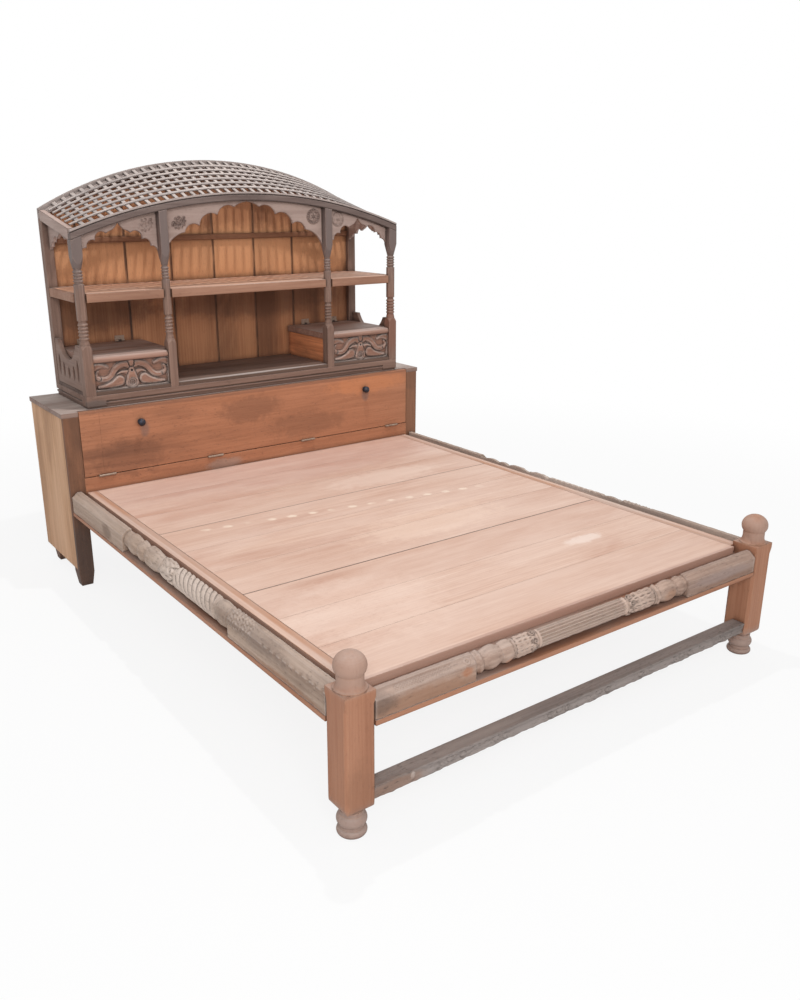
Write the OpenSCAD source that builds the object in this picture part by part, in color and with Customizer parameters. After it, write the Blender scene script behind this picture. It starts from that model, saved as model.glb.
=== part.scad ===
// Teak daybed with a storage head box and a vaulted, latticed headboard cabinet.
// X runs to the right seen from the foot, Y runs from the foot to the head, Z is up.
// The origin is on the floor at the centre of the footprint. All sizes are in millimetres.

/* [Foot end and rails] */
// Distance between the centres of the two foot posts
post_spacing = 1700; // [1500:10:1900]
// Width and depth of a foot post
post_w = 92; // [84:1:100]
// Height of the floor end of a foot post's square shaft
shaft_bottom = 105; // [95:1:125]
// Height of the top of a foot post's square shaft
shaft_top = 424; // [415:1:460]
// Diameter of the ball on a foot post
ball_d = 87; // [70:1:90]
// Height of the ball on a foot post
ball_h = 76; // [60:1:84]
// Diameter of a turned foot
foot_d = 82; // [74:1:84]
// Width of the stopped chamfer on a foot post's edges
post_chamfer = 8; // [3:1:9]
// Length of the side rails between foot post and head box
rail_length = 1923; // [1750:10:2050]
// Height of the underside of the rails
rail_bottom = 320; // [300:1:335]
// Height of a rail's plank
rail_h = 61; // [58:1:66]
// Thickness of the lip that carries the half column
rail_lip = 15; // [12:1:18]
// Radius of the half column on the foot rail
foot_column_r = 37; // [34:1:39]
// Radius of the half column on a side rail
side_column_r = 42; // [39:1:44]
// Distance of the foot pillar's middle from the bed's middle
foot_pillar_shift = -20; // [-30:1:10]
// Drop of the stretcher's underside below the square shafts
stretcher_drop = 7; // [0:1:10]
// Height of the stretcher
stretcher_h = 38; // [32:1:46]
// Depth of the stretcher from front to back
stretcher_d = 50; // [42:1:60]

/* [Deck] */
// Thickness of the deck panels and of their side rims
deck_t = 28; // [24:1:32]
// Width of a side rim
rim_w = 40; // [32:1:44]
// Distance from a rim's outer edge to the rail's outer face
rim_inset = 66; // [62:1:70]
// Distance from the foot post's front face to the deck's foot edge
deck_foot_inset = 76; // [70:1:80]
// Gap between neighbouring deck panels
panel_gap = 1.5; // [1:0.1:3]
// Gap between the boards of one panel
board_gap = 0.8; // [0.5:0.1:1.5]
// Width of a cross bearer
bearer_w = 60; // [50:1:70]
// Height of a cross bearer
bearer_h = 40; // [34:1:44]
// Height of a ledger strip
ledger_h = 20; // [16:1:20]
// Width of a ledger strip
ledger_w = 30; // [24:1:36]
// Height of a panel cleat
cleat_h = 20; // [16:1:24]
// Width of a panel cleat
cleat_w = 45; // [35:1:60]

/* [Head box] */
// Depth of the head box from front to back
box_depth = 432; // [425:1:480]
// Width over the side panels
box_w = 1794; // [1790:1:1800]
// Height of the head box with its top board
box_h = 749; // [735:1:770]
// Width of a front leg seen from the front
leg_w = 63; // [58:1:70]
// Depth of a box leg
leg_d = 60; // [54:1:70]
// Height of the taper at a leg's foot
leg_taper_h = 60; // [45:1:68]
// Width that the taper takes off each face of a leg
leg_taper = 8; // [4:1:12]
// Thickness of the side panels and of the flap
panel_t = 20; // [18:1:22]
// Height of the underside of the side panels
side_bottom = 73; // [70:1:100]
// Thickness of the top board
top_t = 19; // [17:1:22]
// Overhang of the top board past the side panels
top_overhang = 6; // [2:1:10]
// Height of the underside of the box's bottom board
box_floor_z = 345; // [342:1:360]
// Thickness of the bottom board and the back
box_board_t = 18; // [14:1:20]
// Height of the top edge of the rail under the flap
front_rail_top = 470; // [455:1:480]
// Thickness of the rail under the flap
front_rail_t = 22; // [20:1:24]
// Gap between flap and legs at each side
flap_side_gap = 2; // [1:0.5:3]
// Gap under the flap, which holds the hinge leaves
flap_under_gap = 3; // [2.8:0.1:3.4]
// Drop of the flap's top edge below the top board's face
flap_top_drop = 3; // [1:1:5]
// Width of the strip that closes the flap's left end
flap_end_w = 83; // [60:1:100]
// Height of the knobs above the middle of the flap
knob_rise = 65.5; // [50.5:1:75.5]
// Distance of each knob from the middle of the flap
knob_offset = 576; // [480:1:660]
// Diameter of a knob's head
knob_d = 32; // [26:1:36]
// Reach of a knob in front of the flap
knob_reach = 28; // [24:1:32]

/* [Hinges] */
// Length of a flap hinge
hinge_l = 73; // [60:1:80]
// Outer radius of a flap hinge's knuckles
knuckle_r = 4.5; // [4:0.1:5]
// Radius of a hinge pin
pin_r = 1.75; // [1.5:0.05:2]
// Radial running clearance of a hinge pin
pin_gap = 0.05; // [0.03:0.01:0.08]
// Thickness of a hinge leaf
leaf_t = 1.2; // [1:0.1:1.3]
// Width of a hinge leaf
leaf_w = 18; // [14:1:19]
// Distance of the inner flap hinges from the middle
hinge_inner_x = 242; // [200:1:300]
// Distance of the outer flap hinges from the flap's ends
hinge_outer_x = 94; // [87:1:192]
// Length of a lid hinge
lid_hinge_l = 44; // [36:1:54]
// Outer radius of a lid hinge's knuckles
lid_knuckle_r = 3.6; // [3.2:0.1:4]

/* [Cabinet] */
// Width of the cabinet over its posts
cab_w = 1570; // [1500:10:1620]
// Depth of the cabinet over its posts
cab_d = 395; // [385:1:400]
// Height of the moulded base frame
base_h = 51; // [44:1:60]
// Thickness of the cabinet floor
floor_t = 15; // [12:1:18]
// Width of a corner post
corner_post_w = 42; // [40:1:46]
// Depth of the front posts
front_post_d = 42; // [40:1:46]
// Width of a middle post
middle_post_w = 36; // [32:1:40]
// Width of a rear post
rear_post_w = 40; // [36:1:44]
// Distance between the centres of the middle posts
middle_spacing = 799; // [760:1:840]
// Height of the top of the lower square of the front posts
lower_square_top = 985; // [975:1:995]
// Height of the shelf's top face
shelf_top = 1209; // [1200:1:1216]
// Thickness of the shelf board
shelf_t = 22; // [18:1:24]
// Height of the edging round the shelf
edging_h = 35; // [30:1:38]
// Thickness of the edging round the shelf
edging_t = 12; // [10:1:14]
// Height at which the upper squares of the front posts begin
upper_square_z = 1361; // [1300:1:1368]
// Thickness of the back planks
plank_t = 14; // [12:1:16]
// Width of a full back plank with its gap
plank_pitch = 213; // [180:1:240]
// Gap between back planks
plank_gap = 2.5; // [1.5:0.5:4]
// Height of the joint between lower and upper back planks
back_joint_z = 1398; // [1390:1:1410]

/* [Corner boxes] */
// Height of the carved fronts above the cabinet floor
corner_front_h = 115; // [105:1:120]
// Thickness of the corner box walls
corner_wall_t = 16; // [14:1:18]
// Thickness of the lids
lid_t = 27; // [22:1:30]
// Gap between a lid and the pieces beside it
lid_gap = 1.5; // [1:0.5:2]
// Height of the side railings at their ends
railing_end_h = 185; // [170:1:200]
// Height of the side railings at their middle
railing_mid_h = 112; // [105:1:120]
// Thickness of the side railings
railing_t = 18; // [15:1:20]

/* [Vault] */
// Height of the front eave
front_eave_z = 1453; // [1445:1:1470]
// Height of the front arc's crown
front_crown_z = 1594; // [1585:1:1605]
// Height of the rear eave
rear_eave_z = 1529; // [1520:1:1540]
// Height of the rear arc's crown
rear_crown_z = 1732; // [1720:1:1745]
// Height of the front and rear arc boards
arc_board_h = 36; // [34:1:40]
// Thickness of the front and rear arc boards
arc_board_t = 28; // [26:1:30]
// Thickness of the part of an arc board that stands above the lattice
arc_lip_t = 12; // [9:1:14]
// Height of an eave plate
eave_h = 42; // [38:1:46]
// Thickness of an eave plate
eave_t = 24; // [20:1:26]
// Thickness of an arch board
arch_t = 14; // [12:1:15]
// Depth of the ledge that carries the front ends of the lattice ribs
front_ledge = 13; // [12:1:14]
// Depth of the ledge that carries the rear ends of the lattice ribs
rear_ledge = 17; // [16:1:19]
// Distance between neighbouring lattice ribs
rib_pitch = 40; // [36:1:60]
// Width of a lattice rib and of a lattice strip
slat_w = 14; // [12:1:24]
// Thickness of a lattice rib
rib_t = 6; // [5:0.5:6]
// Thickness of a lattice strip
strip_t = 5; // [4:0.5:5.5]
// Number of lattice strips from front to back
strip_count = 6; // [4:1:8]

/* [Fits] */
// Clearance round a tenon
tenon_gap = 0.25; // [0.2:0.05:0.4]
// Gap where a loose piece seats on another
seat_gap = 0.3; // [0.2:0.05:0.4]
// Thickness of the rail tenons
tenon_t = 14; // [12:1:15]
// Length of the rail tenons
tenon_l = 34; // [26:1:34]

/* [Hidden] */

// Plan of the bed
total_l = post_w + rail_length + box_depth;
front_y = -total_l / 2;
post_x = post_spacing / 2;
outer_x = post_x + post_w / 2;
inner_x = post_x - post_w / 2;
rail_y = front_y + post_w;
box_y = rail_y + rail_length;
back_y = total_l / 2;
box_x = box_w / 2;

// Levels of the bed
rail_top = rail_bottom + rail_h;
column_z = rail_bottom + rail_lip;
stretcher_bottom = shaft_bottom - stretcher_drop;
deck_top = rail_top + deck_t;
rim_x = outer_x - rim_inset;
panel_x = rim_x - rim_w - panel_gap;
deck_y = front_y + deck_foot_inset;
deck_end_y = box_y - panel_gap;
panel_l = (deck_end_y - deck_y - 2 * panel_gap) / 3;
panel_step = panel_l + panel_gap;
boards_per_panel = 3;
cleat_rows = 3;
cleat_margin = 8;

// Plan of the head box
leg_inner_x = box_x - leg_w;
box_top_z = box_h - top_t;
flap_z = front_rail_top + flap_under_gap;
flap_top_z = box_h - flap_top_drop;
flap_x = leg_inner_x - flap_side_gap;
top_front_y = box_y + panel_t + 1;
hinge_y = box_y - knuckle_r - 0.5;
hinge_z = front_rail_top + flap_under_gap / 2;
outer_hinge_x = flap_x - hinge_outer_x;
hinge_places = [-outer_hinge_x, -hinge_inner_x, hinge_inner_x, outer_hinge_x];
knob_z = (flap_z + flap_top_z) / 2 + knob_rise;
knob_bolt_r = 4;

// Plan of the cabinet
cab_x = cab_w / 2;
cab_y = box_y + panel_t + 3;
cab_back_y = cab_y + cab_d;
base_top = box_h + base_h;
floor_top = base_top + floor_t;
middle_x = middle_spacing / 2;
plank_y = cab_back_y - 3 - plank_t;
corner_in_x = cab_x - corner_post_w;
middle_out_x = middle_x + middle_post_w / 2;
middle_in_x = middle_x - middle_post_w / 2;
rear_in_x = cab_x - rear_post_w;
rear_in_y = cab_back_y - rear_post_w;
front_in_y = cab_y + front_post_d;
edging_y = cab_y + 6;
edging_side_inset = 2;

// Corner boxes and their lids
lid_z = floor_top + corner_front_h;
lid_top = lid_z + lid_t;
lid_axis_y = plank_y - lid_knuckle_r - 0.6;
lid_axis_z = lid_top + lid_knuckle_r + 0.4;
lid_back_y = plank_y - 1;
lid_hinge_places = [0.28, 0.72];
railing_x = cab_x - edging_side_inset;

// Vault: front and rear arcs, and the ruled surface between them
function arc_radius(half, rise) = (half * half + rise * rise) / (2 * rise);
front_r = arc_radius(cab_x, front_crown_z - front_eave_z);
rear_r = arc_radius(cab_x, rear_crown_z - rear_eave_z);
front_centre_z = front_crown_z - front_r;
rear_centre_z = rear_crown_z - rear_r;
function front_arc(x, drop = 0) = front_centre_z + sqrt(pow(front_r - drop, 2) - x * x);
function rear_arc(x, drop = 0) = rear_centre_z + sqrt(pow(rear_r - drop, 2) - x * x);
rib_y0 = cab_y + arc_lip_t + 1;
rib_y1 = cab_back_y - arc_board_t;
rib_y2 = cab_back_y - arc_lip_t - 1;
function rib_share(y) = (y - rib_y0) / (rib_y1 - rib_y0);
function rib_z(x, y) = (1 - rib_share(y)) * front_arc(x, front_ledge)
    + rib_share(y) * rear_arc(x, rear_ledge) + seat_gap;
eave_in_x = cab_x - eave_t;
arc_front_back_y = cab_y + arc_board_t;
arc_rear_front_y = cab_back_y - arc_board_t;
eave_slope = (rear_eave_z - front_eave_z) / cab_d;
function eave_top(y) = front_eave_z + eave_slope * (y - cab_y);

smooth = 64;
roof_clear = 100;
side_clear = 10;
arc_steps = 360;
e = 0.01;

// Points of a half wave that swells from radius r0 to r1 between u0 and u1
function swell(u0, u1, r0, r1, n = 8) =
    [for (i = [0:n]) [r0 + (r1 - r0) * sin(180 * i / n), u0 + (u1 - u0) * i / n]];

// Points of a quarter wave that moves from radius r0 at u0 to r1 at u1
function sweep_in(u0, u1, r0, r1, n = 5) =
    [for (i = [0:n]) [r0 + (r1 - r0) * sin(90 * i / n), u0 + (u1 - u0) * i / n]];

// Box between two corners
module block(lo, hi) {
    translate(lo) cube(hi - lo);
}

// Profile drawn in Y and Z, extruded along X from x0 to x1
module along_x(x0, x1) {
    translate([x0, 0, 0]) rotate([90, 0, 90]) linear_extrude(x1 - x0) children();
}

// Profile drawn in X and Z, extruded along Y from y0 to y1
module along_y(y0, y1) {
    translate([0, y1, 0]) rotate([90, 0, 0]) linear_extrude(y1 - y0) children();
}

// Right-hand piece, or its mirror image on the left
module on_side(side) {
    mirror([side < 0 ? 1 : 0, 0, 0]) children();
}

// Foot posts

module shaft_outline() {
    round_r = 30;
    translate([-post_w / 2, shaft_bottom]) square([post_w, shaft_top - shaft_bottom]);
    translate([round_r - post_w / 2, shaft_bottom - round_r]) square([post_w - 2 * round_r, round_r + 1]);
    intersection() {
        for (s = [-1, 1]) translate([s * (post_w / 2 - round_r), shaft_bottom]) circle(round_r, $fn = smooth);
        translate([-post_w / 2, shaft_bottom - round_r]) square([post_w, round_r + 1]);
    }
}

module post_foot() {
    r = foot_d / 2;
    low = 11;
    high = 20;
    rotate_extrude($fn = smooth) {
        translate([0, 0]) square([r - low, 2 * low]);
        translate([r - low, low]) circle(low, $fn = smooth);
        square([r - 8, shaft_bottom - 30]);
        translate([r - high, 2 * low + 4 + high]) circle(high, $fn = smooth);
        translate([0, shaft_bottom - 42]) square([r - 10, 14]);
    }
}

// Ball on a hollow neck that flares to the shaft's full width
module post_finial() {
    collar_r = post_w / 2 - 1;
    collar_h = 3;
    neck_r = 0.41 * ball_d;
    neck_h = 24;
    steps = 8;
    rise = 82;
    ball_z = neck_h + ball_h / 2;
    translate([0, 0, shaft_top]) rotate_extrude($fn = smooth) {
        polygon([[0, 0], [collar_r, 0],
            for (i = [0:steps]) [collar_r - (collar_r - neck_r) * sin(90 * i / steps),
                neck_h - (neck_h - collar_h) * cos(90 * i / steps)],
            [neck_r, ball_z - ball_h / 4], [0, ball_z - ball_h / 4]]);
        polygon([[0, neck_h],
            for (i = [-steps:steps]) [ball_d / 2 * cos(i * rise / steps), ball_z + ball_h / 2 * sin(i * rise / steps)],
            [0, neck_h + ball_h]]);
    }
}

module foot_post(side) {
    chamfer_z0 = shaft_bottom - 31;
    chamfer_z1 = shaft_top - 40;
    stop_h = 22;
    stop_over = 2;
    corner = post_w / sqrt(2);
    face = corner - post_chamfer / sqrt(2);
    gap = tenon_gap;
    color("sienna") on_side(side) translate([post_x, front_y + post_w / 2, 0]) {
        difference() {
            union() {
                intersection() {
                    along_y(-post_w / 2, post_w / 2) shaft_outline();
                    along_x(-post_w / 2, post_w / 2) shaft_outline();
                }
                post_foot();
                post_finial();
            }
            for (a = [0:3]) rotate([0, 0, 90 * a + 45]) along_y(-post_chamfer, post_chamfer)
                polygon([[face, chamfer_z0], [corner + stop_over, chamfer_z0],
                    [corner + stop_over, chamfer_z1 + stop_h * (1 + stop_over / (corner - face))],
                    [face, chamfer_z1]]);
            translate([-post_w / 2, -post_w / 2, 0]) {
                rail_mortise = [tenon_l + 1, tenon_t + 2 * gap, rail_h - 18 + 2 * gap];
                translate([-1, foot_column_r - gap, rail_bottom + 9 - gap]) cube(rail_mortise);
                translate([-1, 6 + stretcher_d / 2 - tenon_t / 2 - gap, stretcher_bottom + 8 - gap])
                    cube([tenon_l + 1, tenon_t + 2 * gap, stretcher_h - 16 + 2 * gap]);
            }
            translate([post_w / 2 - side_column_r - tenon_t - gap, post_w / 2 - tenon_l, rail_bottom + 9 - gap])
                cube([tenon_t + 2 * gap, tenon_l + 1, rail_h - 18 + 2 * gap]);
        }
    }
}

// Rails with their half columns

// Rail cross section: u runs from the outer face inwards, v is the height
module rail_outline(column_r, width) {
    polygon([[0, rail_bottom], [width, rail_bottom], [width, rail_top], [column_r, rail_top],
        [column_r, column_z], [0, column_z]]);
}

module foot_rail() {
    color("peru") {
        along_x(-inner_x, inner_x) translate([front_y, 0]) rail_outline(foot_column_r, post_w);
        for (s = [-1, 1]) on_side(s)
            block([inner_x - e, front_y + foot_column_r, rail_bottom + 9],
                [inner_x + tenon_l - 0.5, front_y + foot_column_r + tenon_t, rail_top - 9]);
    }
}

module side_rail(side) {
    color("peru") on_side(side) {
        along_y(rail_y, box_y) translate([outer_x, 0]) mirror([1, 0]) rail_outline(side_column_r, post_w);
        for (end = [0, 1])
            block([outer_x - side_column_r - tenon_t, end == 0 ? rail_y - tenon_l + 0.5 : box_y - e, rail_bottom + 9],
                [outer_x - side_column_r, end == 0 ? rail_y + e : box_y + tenon_l - 0.5, rail_top - 9]);
    }
}

// Section of a plain stretch of a half column: upright in front, with a bevelled top
module beam_outline(r) {
    bevel_h = 20;
    bevel_in = 24;
    polygon([[0, -r], [r - 1, -r], [r - 1, r - 1 - bevel_h], [r - bevel_in, r - 1], [0, r - 1]]);
}

// Half of the turned pillar on the foot rail, from its middle outwards. The places are the ends of the
// flutes, the capital, the disc, the bulb and the ring.
function foot_pillar(places) = let (r = foot_column_r, shaft = foot_column_r - 7) concat(
    [[0, 0], [shaft, 0]],
    sweep_in(places[0], places[1], shaft, r - 1),
    [[r - 6, places[1] + 1]],
    swell(places[1] + 3, places[2], r - 4, r - 1, 4),
    swell(places[2] + 2, places[3], r - 8, r),
    swell(places[3] + 2, places[4] - 14, r - 5, r, 4),
    [[r - 6, places[4] - 12], [r - 6, places[4]], [0, places[4]]]);
foot_pillar_left = [207, 305, 348, 417, 452];
foot_pillar_right = [172, 307, 326, 411, 458];

module foot_rail_column() {
    r = foot_column_r;
    flutes = 9;
    flute_r = 4.5;
    shaft = r - 7;
    ends = [inner_x + foot_pillar_shift, inner_x - foot_pillar_shift];
    pillars = [foot_pillar_left, foot_pillar_right];
    color("gray") translate([foot_pillar_shift, front_y + r, column_z + r]) {
        intersection() {
            difference() {
                for (k = [0, 1]) rotate([0, k == 0 ? -90 : 90, 0])
                    rotate_extrude($fn = smooth) polygon(foot_pillar(pillars[k]));
                for (i = [0:flutes - 1]) rotate([180 * (i + 0.5) / flutes, 0, 0])
                    translate([6 - foot_pillar_left[0], 0, shaft + 1.5]) rotate([0, 90, 0])
                    cylinder(r = flute_r, h = foot_pillar_left[0] + foot_pillar_right[0] - 12, $fn = 24);
            }
            block([-ends[0], -r - 1, -r - 1], [ends[1], 0, r + 1]);
        }
        along_x(-ends[0], -foot_pillar_left[4] + e) mirror([1, 0]) beam_outline(r);
        along_x(foot_pillar_right[4] - e, ends[1]) mirror([1, 0]) beam_outline(r);
    }
}

// Turned part of a side rail's column, from the foot post's side to the head box's
function side_pillar(r) = concat(
    [[0, side_pillar_z[0]], [r - 6, side_pillar_z[0]], [r - 6, 546], [r - 2, 556]],
    swell(560, 622, r - 4, r, 6),
    [[r - 6, 626], [r - 6, 634], [r - 1, 640], [r - 1, 922], [r - 4, 928]],
    swell(932, 1160, r - 4, r),
    [[r - 6, 1164], [r - 6, 1176]],
    swell(1180, 1340, r - 3, r - 1, 6),
    [[r - 6, 1346], [r - 6, side_pillar_z[1]], [0, side_pillar_z[1]]]);
side_pillar_z = [534, 1372];

module side_column(side) {
    r = side_column_r;
    groove_w = 6;
    groove_depth = 5;
    groove_tilt = 46;
    ribs = 8;
    ribs_from = 680;
    rib_step = 30;
    color("darkgray") on_side(side) translate([outer_x - r, rail_y, column_z + r]) {
        intersection() {
            rotate([-90, 0, 0]) difference() {
                rotate_extrude($fn = smooth) polygon(side_pillar(r));
                difference() {
                    for (i = [0:ribs - 1]) translate([0, 0, ribs_from + i * rib_step])
                        rotate([groove_tilt, 0, 0]) cylinder(r = 2 * r, h = groove_w, $fn = smooth);
                    translate([0, 0, side_pillar_z[0]])
                        cylinder(r = r - groove_depth, h = side_pillar_z[1] - side_pillar_z[0], $fn = smooth);
                }
            }
            block([0, -1, -r - 1], [r + 1, rail_length + 1, r + 1]);
        }
        along_y(0, side_pillar_z[0] + e) beam_outline(r);
        along_y(side_pillar_z[1] - e, rail_length) beam_outline(r);
    }
}

module stretcher() {
    y0 = front_y + 6;
    fillet_h = 5;
    fillet_in = 3;
    color("dimgray") {
        along_x(-inner_x, inner_x) difference() {
            translate([y0, stretcher_bottom]) square([stretcher_d, stretcher_h]);
            translate([y0 - 1, stretcher_bottom + fillet_h]) square([fillet_in + 1, stretcher_h - 3 * fillet_h]);
        }
        for (s = [-1, 1]) on_side(s)
            block([inner_x - e, y0 + stretcher_d / 2 - tenon_t / 2, stretcher_bottom + 8],
                [inner_x + tenon_l - 0.5, y0 + stretcher_d / 2 + tenon_t / 2, stretcher_bottom + stretcher_h - 8]);
    }
}

// Deck and what carries it

function bearer_y(i) = i < 2 ? deck_y + (i + 1) * panel_step - panel_gap / 2 : deck_end_y - bearer_w / 2;

module ledgers() {
    color("burlywood") for (s = [-1, 1]) on_side(s)
        block([inner_x - ledger_w, rail_y, rail_top - bearer_h - ledger_h], [inner_x, box_y, rail_top - bearer_h]);
}

module cross_bearers() {
    color("burlywood") for (i = [0:2])
        block([-inner_x + seat_gap, bearer_y(i) - bearer_w / 2, rail_top - bearer_h],
            [inner_x - seat_gap, bearer_y(i) + bearer_w / 2, rail_top]);
}

module deck_panel(index) {
    y0 = deck_y + index * panel_step;
    board_step = (panel_l + board_gap) / boards_per_panel;
    cleat_from = index == 0 ? rail_y + cleat_margin : bearer_y(index - 1) + bearer_w / 2 + cleat_margin;
    cleat_to = bearer_y(index) - bearer_w / 2 - cleat_margin;
    cleat_x = panel_x * 0.62;
    color("rosybrown") {
        for (i = [0:boards_per_panel - 1])
            block([-panel_x, y0 + i * board_step, rail_top],
                [panel_x, y0 + (i + 1) * board_step - board_gap, deck_top]);
        for (i = [0:cleat_rows - 1])
            translate([(i - (cleat_rows - 1) / 2) * cleat_x - cleat_w / 2, cleat_from, rail_top - cleat_h])
            cube([cleat_w, cleat_to - cleat_from, cleat_h]);
    }
}

module deck_rims() {
    color("tan") for (s = [-1, 1]) on_side(s)
        block([rim_x - rim_w, rail_y + seat_gap, rail_top], [rim_x, box_y - seat_gap, deck_top]);
}

// Head box

// Square stick from the floor up, its foot tapered on all four faces
module tapered_leg(w, d) {
    intersection() {
        along_y(0, d) polygon([[leg_taper, 0], [w - leg_taper, 0], [w, leg_taper_h], [w, box_top_z],
            [0, box_top_z], [0, leg_taper_h]]);
        along_x(0, w) polygon([[leg_taper, 0], [d - leg_taper, 0], [d, leg_taper_h], [d, box_top_z],
            [0, box_top_z], [0, leg_taper_h]]);
    }
}

module box_legs_front() {
    gap = tenon_gap;
    color("saddlebrown") for (s = [-1, 1]) on_side(s) difference() {
        translate([leg_inner_x, box_y, 0]) tapered_leg(leg_w, leg_d);
        block([box_x - panel_t, box_y + front_rail_t, side_bottom], [box_x + 1, box_y + leg_d + 1, box_top_z + 1]);
        block([outer_x - side_column_r - tenon_t - gap, box_y - 1, rail_bottom + 9 - gap],
            [outer_x - side_column_r + gap, box_y + tenon_l, rail_top - 9 + gap]);
        block([leg_inner_x - 1, box_y + 4 - gap, rail_top - gap],
            [leg_inner_x + 10 + gap, box_y + front_rail_t - 4 + gap, front_rail_top - 15 + gap]);
    }
}

module box_legs_rear() {
    color("saddlebrown") for (s = [-1, 1]) on_side(s)
        translate([leg_inner_x, back_y - box_board_t - leg_d, 0]) tapered_leg(leg_w - panel_t, leg_d);
}

module box_side(side) {
    color("tan") on_side(side)
        block([box_x - panel_t, box_y + front_rail_t, side_bottom], [box_x, back_y, box_top_z]);
}

module box_front_rail() {
    color("sienna") {
        block([-leg_inner_x, box_y, box_floor_z], [leg_inner_x, box_y + front_rail_t, front_rail_top]);
        for (s = [-1, 1]) on_side(s)
            block([leg_inner_x - e, box_y + 4, rail_top],
                [leg_inner_x + 9.5, box_y + front_rail_t - 4, front_rail_top - 15]);
    }
}

module box_bottom() {
    side_x = box_x - panel_t - seat_gap;
    color("burlywood") difference() {
        block([-side_x, box_y + front_rail_t, box_floor_z],
            [side_x, back_y - box_board_t, box_floor_z + box_board_t]);
        for (s = [-1, 1]) on_side(s) {
            block([leg_inner_x - seat_gap, box_y, box_floor_z - 1], [box_x, box_y + leg_d + seat_gap, box_h]);
            block([leg_inner_x - seat_gap, back_y - box_board_t - leg_d - seat_gap, box_floor_z - 1],
                [box_x, back_y, box_h]);
        }
    }
}

module box_cleats() {
    cleat = 20;
    color("burlywood") for (s = [-1, 1]) on_side(s)
        block([box_x - panel_t - cleat, box_y + leg_d, box_floor_z - cleat],
            [box_x - panel_t, back_y - box_board_t - leg_d, box_floor_z]);
}

module box_back() {
    side_x = box_x - panel_t;
    color("sienna") block([-side_x, back_y - box_board_t, box_floor_z], [side_x, back_y, box_top_z]);
}

module box_top() {
    x = box_x + top_overhang;
    color("rosybrown") {
        block([-x, top_front_y, box_top_z], [x, back_y, box_h]);
        for (s = [-1, 1]) on_side(s) block([leg_inner_x, box_y, box_top_z], [x, top_front_y + 1, box_h]);
    }
}

// Flap, its knobs and hinges

module flap() {
    joint_x = -flap_x + flap_end_w;
    seam = 0.6;
    color("chocolate") difference() {
        union() {
            block([-flap_x, box_y, flap_z], [joint_x - seam, box_y + panel_t, flap_top_z]);
            block([joint_x, box_y, flap_z], [flap_x, box_y + panel_t, flap_top_z]);
        }
        for (s = [-1, 1]) translate([s * knob_offset, box_y - 1, knob_z]) rotate([-90, 0, 0])
            cylinder(r = knob_bolt_r + 0.2, h = panel_t + 2, $fn = 32);
    }
}

module flap_knobs() {
    r = knob_d / 2;
    color("darkslategray") for (s = [-1, 1]) translate([s * knob_offset, box_y, knob_z]) rotate([90, 0, 0])
        rotate_extrude($fn = 48) polygon([[0, -panel_t - 6], [knob_bolt_r + 4, -panel_t - 6],
            [knob_bolt_r + 4, -panel_t], [knob_bolt_r, -panel_t], [knob_bolt_r, 0], [r - 3, 0], [r - 4, 2.5],
            [6.5, 4], [5.5, 10], [7, 13],
            for (i = [0:8]) [r * cos(90 * i / 9), 16 + (knob_reach - 16) * sin(90 * i / 9)],
            [0, knob_reach]]);
}

// Barrel pieces of one hinge along X: the outer two or the middle one
module knuckles(length, r, outer) {
    third = length / 3;
    spans = outer ? [[-length / 2, -third / 2 - 0.3], [third / 2 + 0.3, length / 2]] : [[-third / 2, third / 2]];
    for (s = spans) translate([s[0], 0, 0]) rotate([0, 90, 0]) cylinder(r = r, h = s[1] - s[0], $fn = 32);
}

module bore(length) {
    translate([-length / 2 - 1, 0, 0]) rotate([0, 90, 0])
        cylinder(r = pin_r + pin_gap, h = length + 2, $fn = 32);
}

// Tongues that join a leaf to its knuckles, in Y and Z
module tongues(length, outer, lo, hi) {
    third = length / 3;
    spans = outer ? [[-length / 2, -third / 2 - 0.3], [third / 2 + 0.3, length / 2]] : [[-third / 2, third / 2]];
    for (s = spans) block([s[0], lo[0], lo[1]], [s[1], hi[0], hi[1]]);
}

module flap_hinge(outer) {
    z0 = outer ? front_rail_top - hinge_z : flap_z - leaf_t - hinge_z;
    plate_y = knuckle_r + 0.6;
    for (x = hinge_places) translate([x, hinge_y, hinge_z]) difference() {
        union() {
            knuckles(hinge_l, knuckle_r, outer);
            tongues(hinge_l, outer, [0, z0], [plate_y + 1, z0 + leaf_t]);
            block([-hinge_l / 2, plate_y, z0], [hinge_l / 2, leaf_w, z0 + leaf_t]);
        }
        bore(hinge_l);
    }
}

function lid_mid_x(t) = middle_in_x + t * (railing_x - railing_t - middle_in_x);

module lid_hinge_fixed() {
    for (s = [-1, 1]) on_side(s) for (t = lid_hinge_places)
        translate([lid_mid_x(t), lid_axis_y, lid_axis_z]) difference() {
            union() {
                knuckles(lid_hinge_l, lid_knuckle_r, true);
                tongues(lid_hinge_l, true, [0, lid_knuckle_r - leaf_t],
                    [plank_y - lid_axis_y, lid_knuckle_r + leaf_t]);
                block([-lid_hinge_l / 2, plank_y - lid_axis_y - leaf_t, lid_knuckle_r],
                    [lid_hinge_l / 2, plank_y - lid_axis_y, lid_knuckle_r + leaf_w]);
            }
            bore(lid_hinge_l);
        }
}

module hinge_fixed_leaves() {
    color("dimgray") {
        flap_hinge(true);
        lid_hinge_fixed();
    }
}

module hinge_flap_leaves() {
    color("dimgray") flap_hinge(false);
}

module hinge_pins() {
    color("silver") {
        for (x = hinge_places) translate([x - hinge_l / 2, hinge_y, hinge_z]) rotate([0, 90, 0])
            cylinder(r = pin_r, h = hinge_l, $fn = 32);
        for (s = [-1, 1]) on_side(s) for (t = lid_hinge_places)
            translate([lid_mid_x(t) - lid_hinge_l / 2, lid_axis_y, lid_axis_z]) rotate([0, 90, 0])
            cylinder(r = pin_r, h = lid_hinge_l, $fn = 32);
    }
}

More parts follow.
